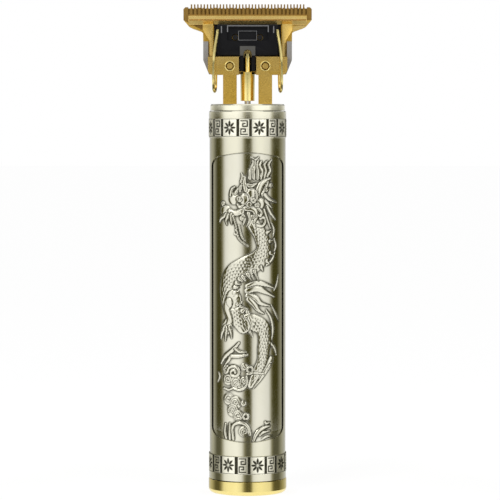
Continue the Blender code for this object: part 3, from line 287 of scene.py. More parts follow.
def make_world():
    world = bpy.data.worlds.new("studio")
    scene.world = world
    world.use_nodes = True
    tree = world.node_tree
    tree.nodes.clear()
    strength = maths(tree, "MULTIPLY_ADD", seen_directly_or_mirrored(tree), 0.4, 0.6)
    sky = node_of(tree, "ShaderNodeBackground",
                  {"Color": (*grey(1.0), 1.0), "Strength": strength})
    node_of(tree, "ShaderNodeOutputWorld", {"Surface": sky.outputs[0]})


def soft_box(name, place, size, power):
    """A square lamp aimed at the head."""
    data = bpy.data.lights.new(name, "AREA")
    data.shape = "RECTANGLE"
    data.size, data.size_y = size[0] * MM, size[1] * MM
    data.energy = power
    lamp = bpy.data.objects.new(name, data)
    lamp.location = Vector(place) * MM
    aim = Vector((0.0, 0.0, 100.0)) * MM - lamp.location
    lamp.rotation_mode = "QUATERNION"
    lamp.rotation_quaternion = aim.to_track_quat("-Z", "Y")
    lamp.visible_camera = False
    scene.collection.objects.link(lamp)


make_tent("light_tent", *TENT)
make_tent("foot_cloth", *FOOT_CLOTH, lift=0.05)
make_floor()
make_world()
soft_box("key_lamp", (-260, -420, 420), (200, 200), 1.2)
soft_box("fill_lamp", (320, -380, 330), (200, 200), 0.7)
scene.view_settings.view_transform = "Standard"
print("ready:", "light tent, floor and world")

# %% [markdown]
# ## Shared surface effects
# Every metal has a fine grain, lines left by the tool that cut it, and edges rubbed bright. Each of
# these effects is a node group with its own named controls, and the materials place it with their
# own values. The groups give masks and heights only: the shader itself stays in the material.

# %% Groups for grain, tool lines and rubbed edges
def new_group(name, inputs, outputs):
    """A node group with float inputs given as name: default, and float outputs."""
    tree = bpy.data.node_groups.new(name, "ShaderNodeTree")
    for key, value in inputs.items():
        socket = tree.interface.new_socket(key, in_out="INPUT", socket_type="NodeSocketFloat")
        socket.default_value = value
    for key in outputs:
        tree.interface.new_socket(key, in_out="OUTPUT", socket_type="NodeSocketFloat")
    return tree, tree.nodes.new("NodeGroupInput"), tree.nodes.new("NodeGroupOutput")


def make_grain_group():
    tree, given, result = new_group("surface_grain", {"Grain Size": 0.3, "Patch Size": 6.0},
                                    ["Grain", "Patches"])
    where = node_of(tree, "ShaderNodeTexCoord").outputs["Object"]
    for size, detail, output in (("Grain Size", 3.0, "Grain"), ("Patch Size", 4.0, "Patches")):
        scale = maths(tree, "DIVIDE", 1.0 / MM, given.outputs[size])
        noise = node_of(tree, "ShaderNodeTexNoise",
                        {"Vector": where, "Scale": scale, "Detail": detail, "Roughness": 0.6})
        tree.links.new(noise.outputs[0], result.inputs[output])
    return tree


def make_tool_lines_group():
    """Fine lines: rings round Z when Rings is 1, straight lines along X when it is 0."""
    tree, given, result = new_group("tool_lines", {"Line Pitch": 0.12, "Rings": 1.0}, ["Lines"])
    where = node_of(tree, "ShaderNodeTexCoord").outputs["Object"]
    split = node_of(tree, "ShaderNodeSeparateXYZ", {0: where})
    scale = maths(tree, "DIVIDE", 1.0 / MM, given.outputs["Line Pitch"])
    across = maths(tree, "MULTIPLY", split.outputs["Z"], scale)
    along = maths(tree, "MULTIPLY", split.outputs["X"], 40.0)
    along = maths(tree, "MULTIPLY", along, maths(tree, "SUBTRACT", 1.0, given.outputs["Rings"]))
    joined = node_of(tree, "ShaderNodeCombineXYZ", {"X": along, "Y": 0.0, "Z": across})
    noise = node_of(tree, "ShaderNodeTexNoise",
                    {"Vector": joined.outputs[0], "Scale": 1.0, "Detail": 2.0})
    tree.links.new(noise.outputs[0], result.inputs["Lines"])
    return tree


def make_rubbed_edge_group():
    """1 on outer edges and 0 elsewhere, broken up by a patchy noise."""
    tree, given, result = new_group("rubbed_edge", {"Sharpness": 14.0, "Break Up": 0.5},
                                    ["Edge", "Corner"])
    point = node_of(tree, "ShaderNodeNewGeometry").outputs["Pointiness"]
    raised = maths(tree, "SUBTRACT", point, 0.5)
    edge = maths(tree, "MULTIPLY", raised, given.outputs["Sharpness"], clamp=True)
    where = node_of(tree, "ShaderNodeTexCoord").outputs["Object"]
    noise = node_of(tree, "ShaderNodeTexNoise", {"Vector": where, "Scale": 600.0, "Detail": 3.0})
    broken = maths(tree, "MULTIPLY_ADD", noise.outputs[0], given.outputs["Break Up"],
                   maths(tree, "SUBTRACT", 1.0, given.outputs["Break Up"]))
    tree.links.new(maths(tree, "MULTIPLY", edge, broken), result.inputs["Edge"])
    sunk = maths(tree, "MULTIPLY", raised, -1.0)
    corner = maths(tree, "MULTIPLY", sunk, given.outputs["Sharpness"], clamp=True)
    tree.links.new(corner, result.inputs["Corner"])
    return tree


GRAIN = make_grain_group()
TOOL_LINES = make_tool_lines_group()
RUBBED_EDGE = make_rubbed_edge_group()
print("groups:", GRAIN.name, TOOL_LINES.name, RUBBED_EDGE.name)

# %% [markdown]
# ## Finishes
# A finish is a Principled shader whose colour, roughness and bump come from those groups. One
# function makes the metals and another the plastics, and each slot of the model's record gets one.
# The antique brass also has patina: a dark colour that lies in the hollows. The embossed pieces
# carry a "patina" value at each point, worked out from their relief, and other pieces read as 0.

# %% Build a finish
def placed_group(tree, group, **values):
    node = tree.nodes.new("ShaderNodeGroup")
    node.node_tree = group
    for key, value in values.items():
        node.inputs[key.replace("_", " ")].default_value = value
    return node


def start_finish(name):
    material = bpy.data.materials.new(name)
    material.use_nodes = True
    tree = material.node_tree
    return material, tree, tree.nodes["Principled BSDF"]


def metal(name, colour, tint, roughness, grain=0.25, patches=5.0, lines=None, rings=1.0,
          line_depth=0.004, edge_tint=None, dark=None):
    """A metal finish. tint is its colour in patches, dark the patina in its hollows."""
    material, tree, shader = start_finish(name)
    shader.inputs["Metallic"].default_value = 1.0
    noise = placed_group(tree, GRAIN, Grain_Size=grain, Patch_Size=patches)
    rub = placed_group(tree, RUBBED_EDGE, Sharpness=10.0, Break_Up=0.5)
    soft = maths(tree, "MULTIPLY", noise.outputs["Patches"], 0.9, clamp=True)
    shown = blend(tree, soft, colour, tint)
    if dark:
        held = node_of(tree, "ShaderNodeAttribute", attribute_name="patina").outputs["Fac"]
        speckle = maths(tree, "MULTIPLY_ADD", noise.outputs["Grain"], 0.5, 0.72)
        held = maths(tree, "MULTIPLY", held, speckle, clamp=True)
        corner = maths(tree, "MULTIPLY", rub.outputs["Corner"], 0.6)
        held = maths(tree, "MAXIMUM", held, corner)
        shown = blend(tree, held, shown, dark)
    if edge_tint:
        shown = blend(tree, maths(tree, "MULTIPLY", rub.outputs["Edge"], 0.8), shown, edge_tint)
    tree.links.new(shown, shader.inputs["Base Color"])
    rough = maths(tree, "MULTIPLY_ADD", noise.outputs["Patches"], 0.16, roughness - 0.08)
    if dark:
        rough = maths(tree, "MULTIPLY_ADD", held, 0.3, rough)
    height = maths(tree, "MULTIPLY", noise.outputs["Grain"], 0.5)
    if lines:
        cut = placed_group(tree, TOOL_LINES, Line_Pitch=lines, Rings=rings)
        height = maths(tree, "ADD", height, cut.outputs["Lines"])
        rough = maths(tree, "MULTIPLY_ADD", cut.outputs["Lines"], 0.08, rough)
    tree.links.new(rough, shader.inputs["Roughness"])
    bump = node_of(tree, "ShaderNodeBump",
                   {"Height": height, "Distance": line_depth * MM, "Strength": 0.6})
    tree.links.new(bump.outputs[0], shader.inputs["Normal"])
    return material


def plastic(name, colour, tint, roughness, grain=0.2, patches=4.0, depth=0.006, gloss=0.5,
            sides=None):
    """A moulded plastic, rubber, foam or enamel finish.

    sides is (distance, colour): the colour it takes beyond that distance across X."""
    material, tree, shader = start_finish(name)
    shader.inputs["Specular IOR Level"].default_value = gloss
    noise = placed_group(tree, GRAIN, Grain_Size=grain, Patch_Size=patches)
    rub = placed_group(tree, RUBBED_EDGE, Sharpness=8.0, Break_Up=0.6)
    shown = blend(tree, maths(tree, "MULTIPLY", noise.outputs["Patches"], 0.8), colour, tint)
    pale = tuple(min(1.0, c * 1.6 + 0.02) for c in colour)
    shown = blend(tree, maths(tree, "MULTIPLY", rub.outputs["Edge"], 0.5), shown, pale)
    if sides:
        where = node_of(tree, "ShaderNodeTexCoord").outputs["Object"]
        across = node_of(tree, "ShaderNodeSeparateXYZ", {0: where}).outputs["X"]
        beyond = maths(tree, "GREATER_THAN", maths(tree, "ABSOLUTE", across), sides[0] * MM)
        shown = blend(tree, beyond, shown, sides[1])
    tree.links.new(shown, shader.inputs["Base Color"])
    rough = maths(tree, "MULTIPLY_ADD", noise.outputs["Patches"], 0.2, roughness - 0.1)
    tree.links.new(rough, shader.inputs["Roughness"])
    bump = node_of(tree, "ShaderNodeBump", {"Height": noise.outputs["Grain"],
                                            "Distance": depth * MM, "Strength": 0.5})
    tree.links.new(bump.outputs[0], shader.inputs["Normal"])
    return material
print("ready:", "build a finish")

# %% Choose the finishes
CREAM_BRASS = (0.86, 0.83, 0.68)
OLIVE_BRASS = (0.80, 0.78, 0.60)
PATINA = (0.030, 0.028, 0.012)
FINISH = {
    "antique_brass": metal("antique_brass_plate", CREAM_BRASS, OLIVE_BRASS, 0.13, lines=0.1,
                           line_depth=0.002, dark=PATINA),
    "polished_gold": metal("polished_gold_plate", (0.96, 0.84, 0.38), (0.90, 0.72, 0.24), 0.12,
                           lines=0.08, line_depth=0.002),
    "titanium_gold": metal("titanium_gold_coat", (0.80, 0.51, 0.085), (0.66, 0.40, 0.055), 0.22,
                           lines=0.09, rings=0.0, line_depth=0.004,
                           edge_tint=(0.90, 0.70, 0.30)),
    "black_plastic": plastic("black_moulding", (0.004, 0.004, 0.005), (0.008, 0.008, 0.009), 0.3,
                             gloss=0.12),
    "core_plastic": plastic("core_moulding", (0.05, 0.05, 0.055), (0.07, 0.07, 0.075), 0.5),
    "bright_steel": metal("bright_steel", (0.66, 0.65, 0.62), (0.58, 0.57, 0.55), 0.22, lines=0.08),
    "motor_steel": metal("zinc_plated_steel", (0.52, 0.52, 0.53), (0.42, 0.43, 0.45), 0.34,
                         lines=0.15),
    "lamination": metal("stacked_laminations", (0.22, 0.22, 0.24), (0.15, 0.15, 0.17), 0.5,
                        lines=0.5, line_depth=0.05),
    "copper": metal("wound_copper", (0.75, 0.33, 0.16), (0.6, 0.24, 0.1), 0.32, lines=0.25,
                    line_depth=0.05),
    "bronze": metal("oiled_bronze", (0.5, 0.34, 0.16), (0.4, 0.26, 0.12), 0.45),
    "ferrite": plastic("pressed_ferrite", (0.05, 0.05, 0.055), (0.08, 0.08, 0.085), 0.7),
    "cell_wrap": plastic("cell_sleeve", (0.06, 0.16, 0.36), (0.08, 0.2, 0.42), 0.35),
    "foam": plastic("open_foam", (0.08, 0.08, 0.08), (0.12, 0.12, 0.12), 0.95, grain=0.35,
                    depth=0.15),
    "board_green": plastic("board_lacquer", (0.01, 0.12, 0.05), (0.02, 0.18, 0.08), 0.35),
    "clear_light": plastic("clear_light_pipe", (0.8, 0.84, 0.88), (0.72, 0.77, 0.82), 0.15),
    "wire_red": plastic("red_insulation", (0.45, 0.015, 0.015), (0.55, 0.03, 0.03), 0.4),
    "wire_black": plastic("black_insulation", (0.015, 0.015, 0.015), (0.03, 0.03, 0.03), 0.4),
    "seal_rubber": plastic("seal_rubber", (0.02, 0.02, 0.02), (0.04, 0.04, 0.04), 0.65),
}
PANEL_FINISH = metal("embossed_plate", (0.84, 0.82, 0.70), (0.76, 0.74, 0.60), 0.15, dark=PATINA)
BAND_FINISH = metal("bright_band_plate", (0.97, 0.95, 0.82), (0.93, 0.91, 0.76), 0.42, lines=0.1,
                    line_depth=0.002, dark=PATINA)
# Painted shade: the teeth are painted a darker brown than the bar, standing in for the shade over the
# toothed edge.
TOOTH_SHADE_FINISH = metal("toothed_edge_painted_shade", (0.36, 0.22, 0.06), (0.26, 0.15, 0.035), 0.36, lines=0.1,
                     rings=0.0)
# Painted shade: the base is painted near-black in its middle for the shade between the seats; beyond 11.95
# mm to each side, on its cheeks, it has its own smoke grey.
BASE_SHADE_FINISH = plastic("base_moulding_painted_shade", (0.004, 0.004, 0.005), (0.008, 0.008, 0.009), 0.3,
                      gloss=0.15,
                      sides=(11.95, (0.26, 0.25, 0.235)))
TIP_FINISH = metal("ground_tips", (0.95, 0.92, 0.80), (0.90, 0.85, 0.70), 0.3, lines=0.1, rings=0.0)
# Painted sheen: the fork is painted dark grey instead of black for the light its top chamfer catches.
FORK_SHEEN_FINISH = plastic("fork_moulding_painted_sheen", (0.06, 0.058, 0.052), (0.08, 0.078, 0.07), 0.45, gloss=0.3)
# Painted sheen: the ribs are painted paler grey than the black carrier for the light they catch.
RIB_SHEEN_FINISH = plastic("rib_moulding_painted_sheen", (0.13, 0.13, 0.135), (0.17, 0.17, 0.175), 0.45, gloss=0.3)
SLOT_OF.update(blade_screw_left="titanium_gold", blade_screw_right="titanium_gold")
print("finishes:", len(FINISH) + 7)

# %% [markdown]
# ## Relief
# The barrel's two panels are embossed: a dragon and clouds stand out of a smooth ground, and dark
# patina lies in the hollows. A relief is a height over a sheet of arc length and height, and that
# is how it is made here. Each stroke of the design raises a rounded ridge along a smooth route and
# cuts a narrow groove beside it, so that later strokes seem to lie over earlier ones. The sheet is
# then wrapped round the barrel. Sculpting by hand could do the same, but it couldn't be rerun.

# %% A sheet of heights
RELIEF_STEP = 0.19
GROUND_R = FLOOR_R + 0.05
FACE_R = FLOOR_R + 0.3
GROOVE = 0.28


def arc_length(x):
    """Arc length from the front line to a point seen x to its side."""
    return FACE_R * math.asin(max(-0.98, min(0.98, x / FACE_R)))


class Sheet:
    """Heights over arc length s and height z, all in millimetres."""

    def __init__(self, half_s, low, top, step=RELIEF_STEP):
        self.step = step
        self.columns = np.linspace(-half_s, half_s, round(2 * half_s / step) + 1)
        self.rows = np.linspace(low, top, round((top - low) / step) + 1)
        self.s, self.z = np.meshgrid(self.columns, self.rows)
        self.height = np.zeros_like(self.s)

    def part(self, centre_s, centre_z, reach_s, reach_z):
        """The slice of the sheet within reach of a point."""
        first_s, last_s = np.searchsorted(self.columns, (centre_s - reach_s, centre_s + reach_s))
        first_z, last_z = np.searchsorted(self.rows, (centre_z - reach_z, centre_z + reach_z))
        return slice(first_z, last_z), slice(first_s, last_s)

    def lay(self, part, share, width, high, extra=0.0):
        """Raises a rounded ridge where share, the distance over the width, is under 1."""
        old = self.height[part]
        inside = np.clip(1 - share ** 2, 0, 1)
        ridge = high * np.sqrt(inside) + 0.35 * old + extra
        beside = np.clip((share - 1) * width / GROOVE, 0, 1)
        self.height[part] = np.where(inside > 0, ridge, old * beside)


def smooth_route(points, steps=7):
    """A Catmull-Rom curve through points given as seen from the front."""
    line = np.array([(arc_length(x), z) for x, z in points])
    padded = np.vstack([2 * line[0] - line[1], line, 2 * line[-1] - line[-2]])
    t = np.linspace(0, 1, steps, endpoint=False)[:, None]
    curve = [0.5 * (2 * b + (c - a) * t + (2 * a - 5 * b + 4 * c - d) * t ** 2
                    + (3 * b - a - 3 * c + d) * t ** 3)
             for a, b, c, d in zip(padded, padded[1:], padded[2:], padded[3:])]
    return np.vstack([*curve, line[-1:]])


def stroke(sheet, points, widths, high, scales=False):
    """A ridge along a route. widths are its half-widths at even shares of the route."""
    route = smooth_route(points)
    half = np.interp(np.linspace(0, 1, len(route)), np.linspace(0, 1, len(widths)), widths)
    low, top = route.min(axis=0), route.max(axis=0)
    centre, reach = (low + top) / 2, (top - low) / 2 + max(widths) + 1.0
    part = sheet.part(*centre, *reach)
    s, z = sheet.s[part], sheet.z[part]
    best = np.full(s.shape, 99.0)
    along, across, wide = np.zeros_like(s), np.zeros_like(s), np.ones_like(s)
    travelled = 0.0
    for (s0, z0), (s1, z1), w0, w1 in zip(route, route[1:], half, half[1:]):
        ds, dz = s1 - s0, z1 - z0
        length = math.hypot(ds, dz)
        t = np.clip(((s - s0) * ds + (z - z0) * dz) / length ** 2, 0, 1)
        off_s, off_z = s - s0 - t * ds, z - z0 - t * dz
        width = w0 + (w1 - w0) * t
        share = np.hypot(off_s, off_z) / width
        near = share < best
        best = np.where(near, share, best)
        along = np.where(near, travelled + t * length, along)
        across = np.where(near, (off_s * dz - off_z * ds) / length, across)
        wide = np.where(near, width, wide)
        travelled += length
    sheet.lay(part, best, wide, high, scale_pattern(along, across, wide) if scales else 0.0)


SCALE_PITCH = 1.05


def scale_pattern(along, across, wide):
    """Overlapping scales on the back and ribs on the belly."""
    row = np.floor(along / SCALE_PITCH)
    rise = along / SCALE_PITCH - row
    turn = np.mod(across / SCALE_PITCH + 0.5 * np.mod(row, 2), 1.0) - 0.5
    scale = np.clip(1 - np.hypot(2 * turn, rise) ** 2, -0.6, 1)
    rib = np.cos(2 * math.pi * along / 0.85)
    belly = across / wide < -0.45
    return np.where(belly, 0.05 * rib, 0.10 * scale) * np.clip(1.3 - np.abs(across) / wide, 0, 1)


def oval(sheet, centre, half_x, half_z, high):
    s0, z0 = arc_length(centre[0]), centre[1]
    part = sheet.part(s0, z0, half_x + 1.0, half_z + 1.0)
    share = np.hypot((sheet.s[part] - s0) / half_x, (sheet.z[part] - z0) / half_z)
    sheet.lay(part, share, min(half_x, half_z), high)


def spiral(sheet, centre, first_r, last_r, turns, width, high, start=0.0):
    count = int(10 * abs(turns)) + 1
    points = []
    for i in range(count):
        share = i / (count - 1)
        radius = first_r + (last_r - first_r) * share
        angle = start + 2 * math.pi * turns * share
        points.append((centre[0] + radius * math.cos(angle), centre[1] + radius * math.sin(angle)))
    stroke(sheet, points, [width, width], high)


def soften(field, reach):
    kernel = np.hanning(2 * reach + 3)
    kernel /= kernel.sum()
    for axis in (0, 1):
        field = np.apply_along_axis(np.convolve, axis, field, kernel, "same")
    return field
print("ready:", "a sheet of heights")

# %% The panel's outline
def panel_edge(sheet):
    """Distance inside the panel's outline, negative outside it."""
    flat = PANEL_HALF_X - PANEL_CORNER
    x = np.abs(FACE_R * np.sin(sheet.s / FACE_R))
    middle = (PANEL_LOW + PANEL_TOP) / 2
    z = np.abs(sheet.z - middle)
    top = PANEL_TOP - middle
    bow = PANEL_ARCH * (np.minimum(x, flat) / flat) ** 2
    edge = np.minimum(PANEL_HALF_X - x, top - bow - z)
    corner_z = top - PANEL_ARCH - PANEL_CORNER
    corner = PANEL_CORNER - np.hypot(x - flat, z - corner_z)
    return np.where((x > flat) & (z > corner_z), np.minimum(edge, corner), edge)
print("ready:", "the panel's outline")

# %% Turn a sheet into a piece
def wrapped(name, sheet, base_r, keep, patina, behind=False, closed=False,
            finish=PANEL_FINISH):
    """Wraps a sheet round the barrel as a mesh with a patina value at each point."""
    angle = sheet.s / FACE_R if not closed else sheet.s / sheet.columns[-1] * math.pi
    radius = base_r + sheet.height
    side = -1.0 if behind else 1.0
    places = np.stack([side * radius * np.sin(angle), -side * radius * np.cos(angle), sheet.z], -1)
    index = np.full(keep.shape, -1)
    index[keep] = np.arange(keep.sum())
    if closed:
        index[:, -1] = index[:, 0]
    quads = np.stack([index[:-1, :-1], index[:-1, 1:], index[1:, 1:], index[1:, :-1]], -1)
    quads = quads[(quads >= 0).all(axis=-1)]
    mesh = bpy.data.meshes.new(name)
    mesh.from_pydata((places[keep] * MM).tolist(), [], quads.tolist())
    held = mesh.attributes.new("patina", "FLOAT", "POINT")
    held.data.foreach_set("value", patina[keep].astype(np.float32))
    bm = bmesh.new()
    bm.from_mesh(mesh)
    bmesh.ops.delete(bm, geom=[v for v in bm.verts if not v.link_faces], context="VERTS")
    bm.to_mesh(mesh)
    bm.free()
    mesh.shade_smooth()
    piece = bpy.data.objects.new(name, mesh)
    scene.collection.objects.link(piece)
    mesh.materials.append(finish)
    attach(piece, BODY_OF["body_tube"])
    print(name, len(quads), "faces")
    return piece


def panel_piece(name, sheet, behind=False):
    """Finishes a panel: rounds the relief, finds its hollows and wraps it."""
    edge = panel_edge(sheet)
    rim = np.clip(edge / 0.45, 0, 1)
    sheet.height = np.clip(sheet.height, -0.03, 0.46) * rim
    near = soften(sheet.height, 3)
    busy = soften((sheet.height > 0.06).astype(float), 8)
    hollow = np.clip((near - sheet.height - 0.006) * 26, 0, 1)
    ground = np.clip(1 - sheet.height / 0.1, 0, 1) * np.clip(busy * 2.6 - 0.35, 0, 0.85)
    border = np.clip(1.25 - edge / 0.4, 0, 1)
    patina = np.clip(np.maximum(np.maximum(hollow, ground), border), 0, 1)
    wrapped(name, sheet, GROUND_R, edge > 0.05, patina, behind)


# %% [markdown]
# ## The dragon
# The design is read from the top down: a flowing mane, antlers, the head in profile with its beard
# and whiskers, two clawed feet, the scaled body that swings to the left and back, and a tail that
# ends in strands among clouds. Every route is a list of (across, up) points, with its half-widths
# and its height. Large forms come first and small ones last, because later strokes lie on top.

# %% Strokes of the front panel
BODY = [(2.05, 83.75), (4.2, 80.5), (5.3, 76.2), (3.1, 72.95), (-1.0, 70.8), (-4.5, 68.6),
        (-6.2, 64.7), (-5.8, 60.3), (-3.6, 56.0), (-1.4, 52.7)]
TAIL = [(1.5, 54.0), (4.66, 52.3), (5.5, 49.0), (5.1, 45.3), (4.66, 42.1), (2.9, 38.4),
        (0.96, 34.4)]
BACK_STROKES = [
    ([(-0.13, 65.0), (2.9, 66.0), (5.8, 65.4), (8.6, 64.2)], [0.6, 0.75, 0.15], 0.28),
    ([(-0.13, 63.6), (2.9, 64.25), (5.5, 63.2), (8.4, 61.6)], [0.8, 0.9, 0.15], 0.3),
    ([(0.1, 62.1), (2.5, 61.4), (4.2, 59.7), (7.05, 58.8)], [0.8, 0.8, 0.15], 0.3),
    ([(0.3, 61.0), (2.05, 59.4), (3.4, 57.6), (5.2, 56.4)], [0.7, 0.7, 0.15], 0.28),
    ([(5.8, 57.6), (7.4, 55.0), (8.0, 51.6), (7.6, 48.4)], [0.3, 0.5, 0.45, 0.15], 0.24),
    ([(6.9, 47.6), (8.4, 46.0), (9.0, 43.6)], [0.3, 0.45, 0.15], 0.24),
    ([(0.74, 71.0), (0.96, 69.0), (2.05, 66.9)], [0.5, 0.4, 0.12], 0.22),
    ([(2.05, 71.0), (2.5, 69.0), (3.35, 66.6)], [0.5, 0.4, 0.12], 0.22),
    ([(8.6, 75.3), (7.7, 72.95), (5.97, 71.4)], [0.2, 0.4, 0.3], 0.2),
    ([(9.7, 68.4), (9.2, 65.3), (8.4, 63.6)], [0.15, 0.4, 0.2], 0.2),
    ([(-0.13, 57.1), (0.96, 54.45), (1.8, 51.2)], [0.5, 0.4, 0.15], 0.24),
    ([(0.3, 51.6), (1.6, 49.4)], [0.4, 0.15], 0.2),
    ([(2.7, 53.6), (4.9, 51.4), (5.3, 49.0)], [0.3, 0.4, 0.2], 0.2),
    ([(7.5, 59.0), (9.0, 56.0), (9.9, 53.8)], [0.15, 0.4, 0.15], 0.2),
    ([(-2.7, 47.5), (-4.9, 45.1), (-7.1, 43.2), (-8.2, 41.0)], [0.3, 0.6, 0.6, 0.2], 0.3),
    ([(-5.1, 43.6), (-6.0, 42.1), (-7.3, 40.3)], [0.5, 0.5, 0.2], 0.25),
    ([(-5.1, 43.4), (-2.7, 43.4), (-0.13, 43.8)], [0.5, 0.5, 0.2], 0.25),
    ([(-3.8, 45.55), (-2.3, 44.7), (-0.57, 44.7)], [0.4, 0.4, 0.15], 0.22),
    ([(7.5, 42.5), (5.3, 38.8), (2.9, 36.2), (0.74, 33.6)], [0.8, 0.7, 0.5, 0.2], 0.3),
    ([(7.05, 40.5), (4.66, 37.1), (1.8, 33.6)], [0.45, 0.45, 0.2], 0.24),
]
NEAR_STROKES = [
    ([(-6.0, 59.9), (-6.6, 57.7), (-5.5, 54.5), (-6.4, 51.9)], [1.6, 1.2, 1.0, 1.1], 0.38),
    ([(-7.0, 52.6), (-8.0, 50.6), (-8.3, 48.6)], [0.6, 0.5, 0.15], 0.3),
    ([(-6.5, 52.0), (-6.8, 50.0), (-6.9, 48.0)], [0.6, 0.5, 0.15], 0.3),
    ([(-5.8, 52.4), (-5.2, 50.6), (-5.0, 48.8)], [0.6, 0.5, 0.15], 0.3),
    ([(0.74, 98.3), (0.96, 100.5), (1.83, 102.5), (1.6, 104.0)], [0.5, 0.55, 0.5, 0.15], 0.3),
    ([(2.05, 98.3), (1.83, 100.5), (2.48, 102.25), (2.26, 104.0)], [0.5, 0.55, 0.5, 0.15], 0.32),
    ([(3.2, 98.2), (3.3, 100.2), (3.0, 102.0), (3.4, 103.9)], [0.5, 0.5, 0.45, 0.15], 0.3),
    ([(4.2, 98.3), (4.65, 100.1), (3.9, 101.8), (4.4, 103.6)], [0.5, 0.5, 0.5, 0.15], 0.3),
    ([(5.3, 98.55), (5.75, 100.5), (5.3, 102.25), (6.2, 103.6)], [0.5, 0.55, 0.5, 0.15], 0.3),
    ([(6.3, 98.9), (7.2, 100.6), (6.7, 102.3), (7.6, 103.9)], [0.45, 0.5, 0.45, 0.15], 0.28),
    ([(1.2, 104.6), (2.4, 103.9), (3.6, 104.8)], [0.2, 0.35, 0.15], 0.22),
    ([(2.9, 92.5), (3.6, 94.85), (4.66, 96.8), (7.05, 98.1)], [0.7, 0.9, 0.85, 0.4], 0.42),
    ([(4.66, 93.1), (5.75, 95.3), (6.4, 97.0)], [0.5, 0.55, 0.3], 0.36),
    ([(5.5, 93.1), (6.8, 91.8), (9.0, 90.7)], [0.6, 0.5, 0.15], 0.32),
    ([(6.2, 89.6), (7.3, 87.45), (8.8, 85.3)], [0.6, 0.5, 0.15], 0.32),
    ([(5.2, 88.4), (6.2, 85.6), (7.2, 82.6)], [0.5, 0.45, 0.15], 0.28),
    ([(-0.13, 96.2), (1.2, 95.9), (2.7, 96.6)], [0.5, 0.55, 0.3], 0.42),
    ([(-1.0, 98.5), (-1.0, 96.6), (-0.57, 94.6)], [0.35, 0.6, 0.6], 0.4),
    ([(-2.3, 88.5), (-0.13, 89.0), (2.05, 88.5), (2.7, 86.6), (2.05, 84.6)],
     [0.5, 0.8, 0.8, 0.7, 0.3], 0.4),
    ([(-1.9, 87.7), (-1.0, 85.7), (-1.4, 83.7)], [0.45, 0.4, 0.12], 0.26),
    ([(0.3, 87.4), (0.74, 85.5), (-0.13, 83.5)], [0.45, 0.4, 0.12], 0.26),
    ([(2.9, 83.75), (4.66, 83.5), (5.5, 84.6), (5.1, 86.1), (4.0, 85.7)], [0.45, 0.45, 0.3], 0.34),
    ([(-1.9, 88.1), (-3.8, 87.45), (-5.6, 88.1)], [0.9, 0.8, 0.7], 0.34),
    ([(-5.35, 93.1), (-4.9, 94.85), (-3.8, 95.7)], [0.55, 0.45, 0.12], 0.36),
    ([(-3.8, 93.5), (-3.0, 94.85), (-2.4, 95.2)], [0.55, 0.4, 0.12], 0.36),
    ([(-6.7, 87.0), (-8.2, 85.9), (-8.7, 84.6)], [0.6, 0.5, 0.12], 0.36),
    ([(-6.0, 86.8), (-6.7, 85.3), (-6.4, 83.75)], [0.6, 0.5, 0.12], 0.36),
    ([(-5.1, 87.0), (-5.1, 85.3), (-4.9, 84.0)], [0.6, 0.5, 0.12], 0.36),
    ([(-4.5, 86.6), (-3.6, 83.3), (-2.96, 80.05), (-1.4, 78.4), (0.1, 77.3)], [0.3, 0.28, 0.12], 0.26),
    ([(-2.7, 83.75), (-1.9, 80.5), (-0.9, 78.9)], [0.28, 0.26, 0.12], 0.24),
    ([(-2.3, 58.8), (-0.13, 57.9)], [0.4, 0.15], 0.3),
    ([(-2.2, 97.0), (-1.6, 98.4), (-1.9, 99.8)], [0.3, 0.45, 0.15], 0.3),
    ([(-2.4, 94.2), (-2.2, 95.6), (-1.7, 96.6)], [0.35, 0.45, 0.15], 0.3),
    ([(2.6, 94.2), (3.0, 92.4), (2.4, 90.8)], [0.3, 0.4, 0.2], 0.34),
    ([(-3.2, 90.2), (-2.4, 89.4), (-1.4, 89.9)], [0.3, 0.5, 0.3], 0.36),
    ([(3.4, 88.9), (4.4, 87.6), (4.0, 86.6), (3.2, 86.9)], [0.4, 0.45, 0.25], 0.34),
    ([(5.6, 91.2), (6.4, 90.4), (7.6, 89.0)], [0.4, 0.45, 0.12], 0.3),
    ([(-3.9, 82.4), (-3.2, 81.6), (-3.6, 80.8), (-4.3, 81.2)], [0.2, 0.25, 0.12], 0.2),
    ([(7.6, 84.2), (8.3, 82.4), (8.0, 80.2)], [0.2, 0.4, 0.15], 0.24),
    ([(8.3, 79.6), (8.9, 77.4), (8.4, 75.6)], [0.2, 0.4, 0.15], 0.24),
]
CURLS = [((-2.5, 91.9), 0.8), ((3.1, 89.9), 0.7), ((0.6, 90.1), 0.75), ((-1.9, 86.0), 0.6),
         ((5.9, 94.6), 0.55), ((1.6, 86.4), 0.6), ((-7.6, 90.4), 0.6), ((7.3, 95.9), 0.6)]
FOOT_OVALS = [((-4.3, 92.0), 1.7, 1.9, 0.42), ((-6.9, 88.1), 2.0, 1.8, 0.42),
              ((-4.5, 61.0), 2.6, 2.8, 0.42), ((-6.5, 52.4), 1.9, 2.4, 0.4)]
HEAD_OVALS = [((1.2, 92.7), 1.9, 2.4, 0.36), ((-1.0, 91.8), 1.4, 1.8, 0.4),
              ((4.2, 90.5), 1.3, 1.6, 0.34)]
print("routes:", len(BACK_STROKES) + len(NEAR_STROKES) + 2)

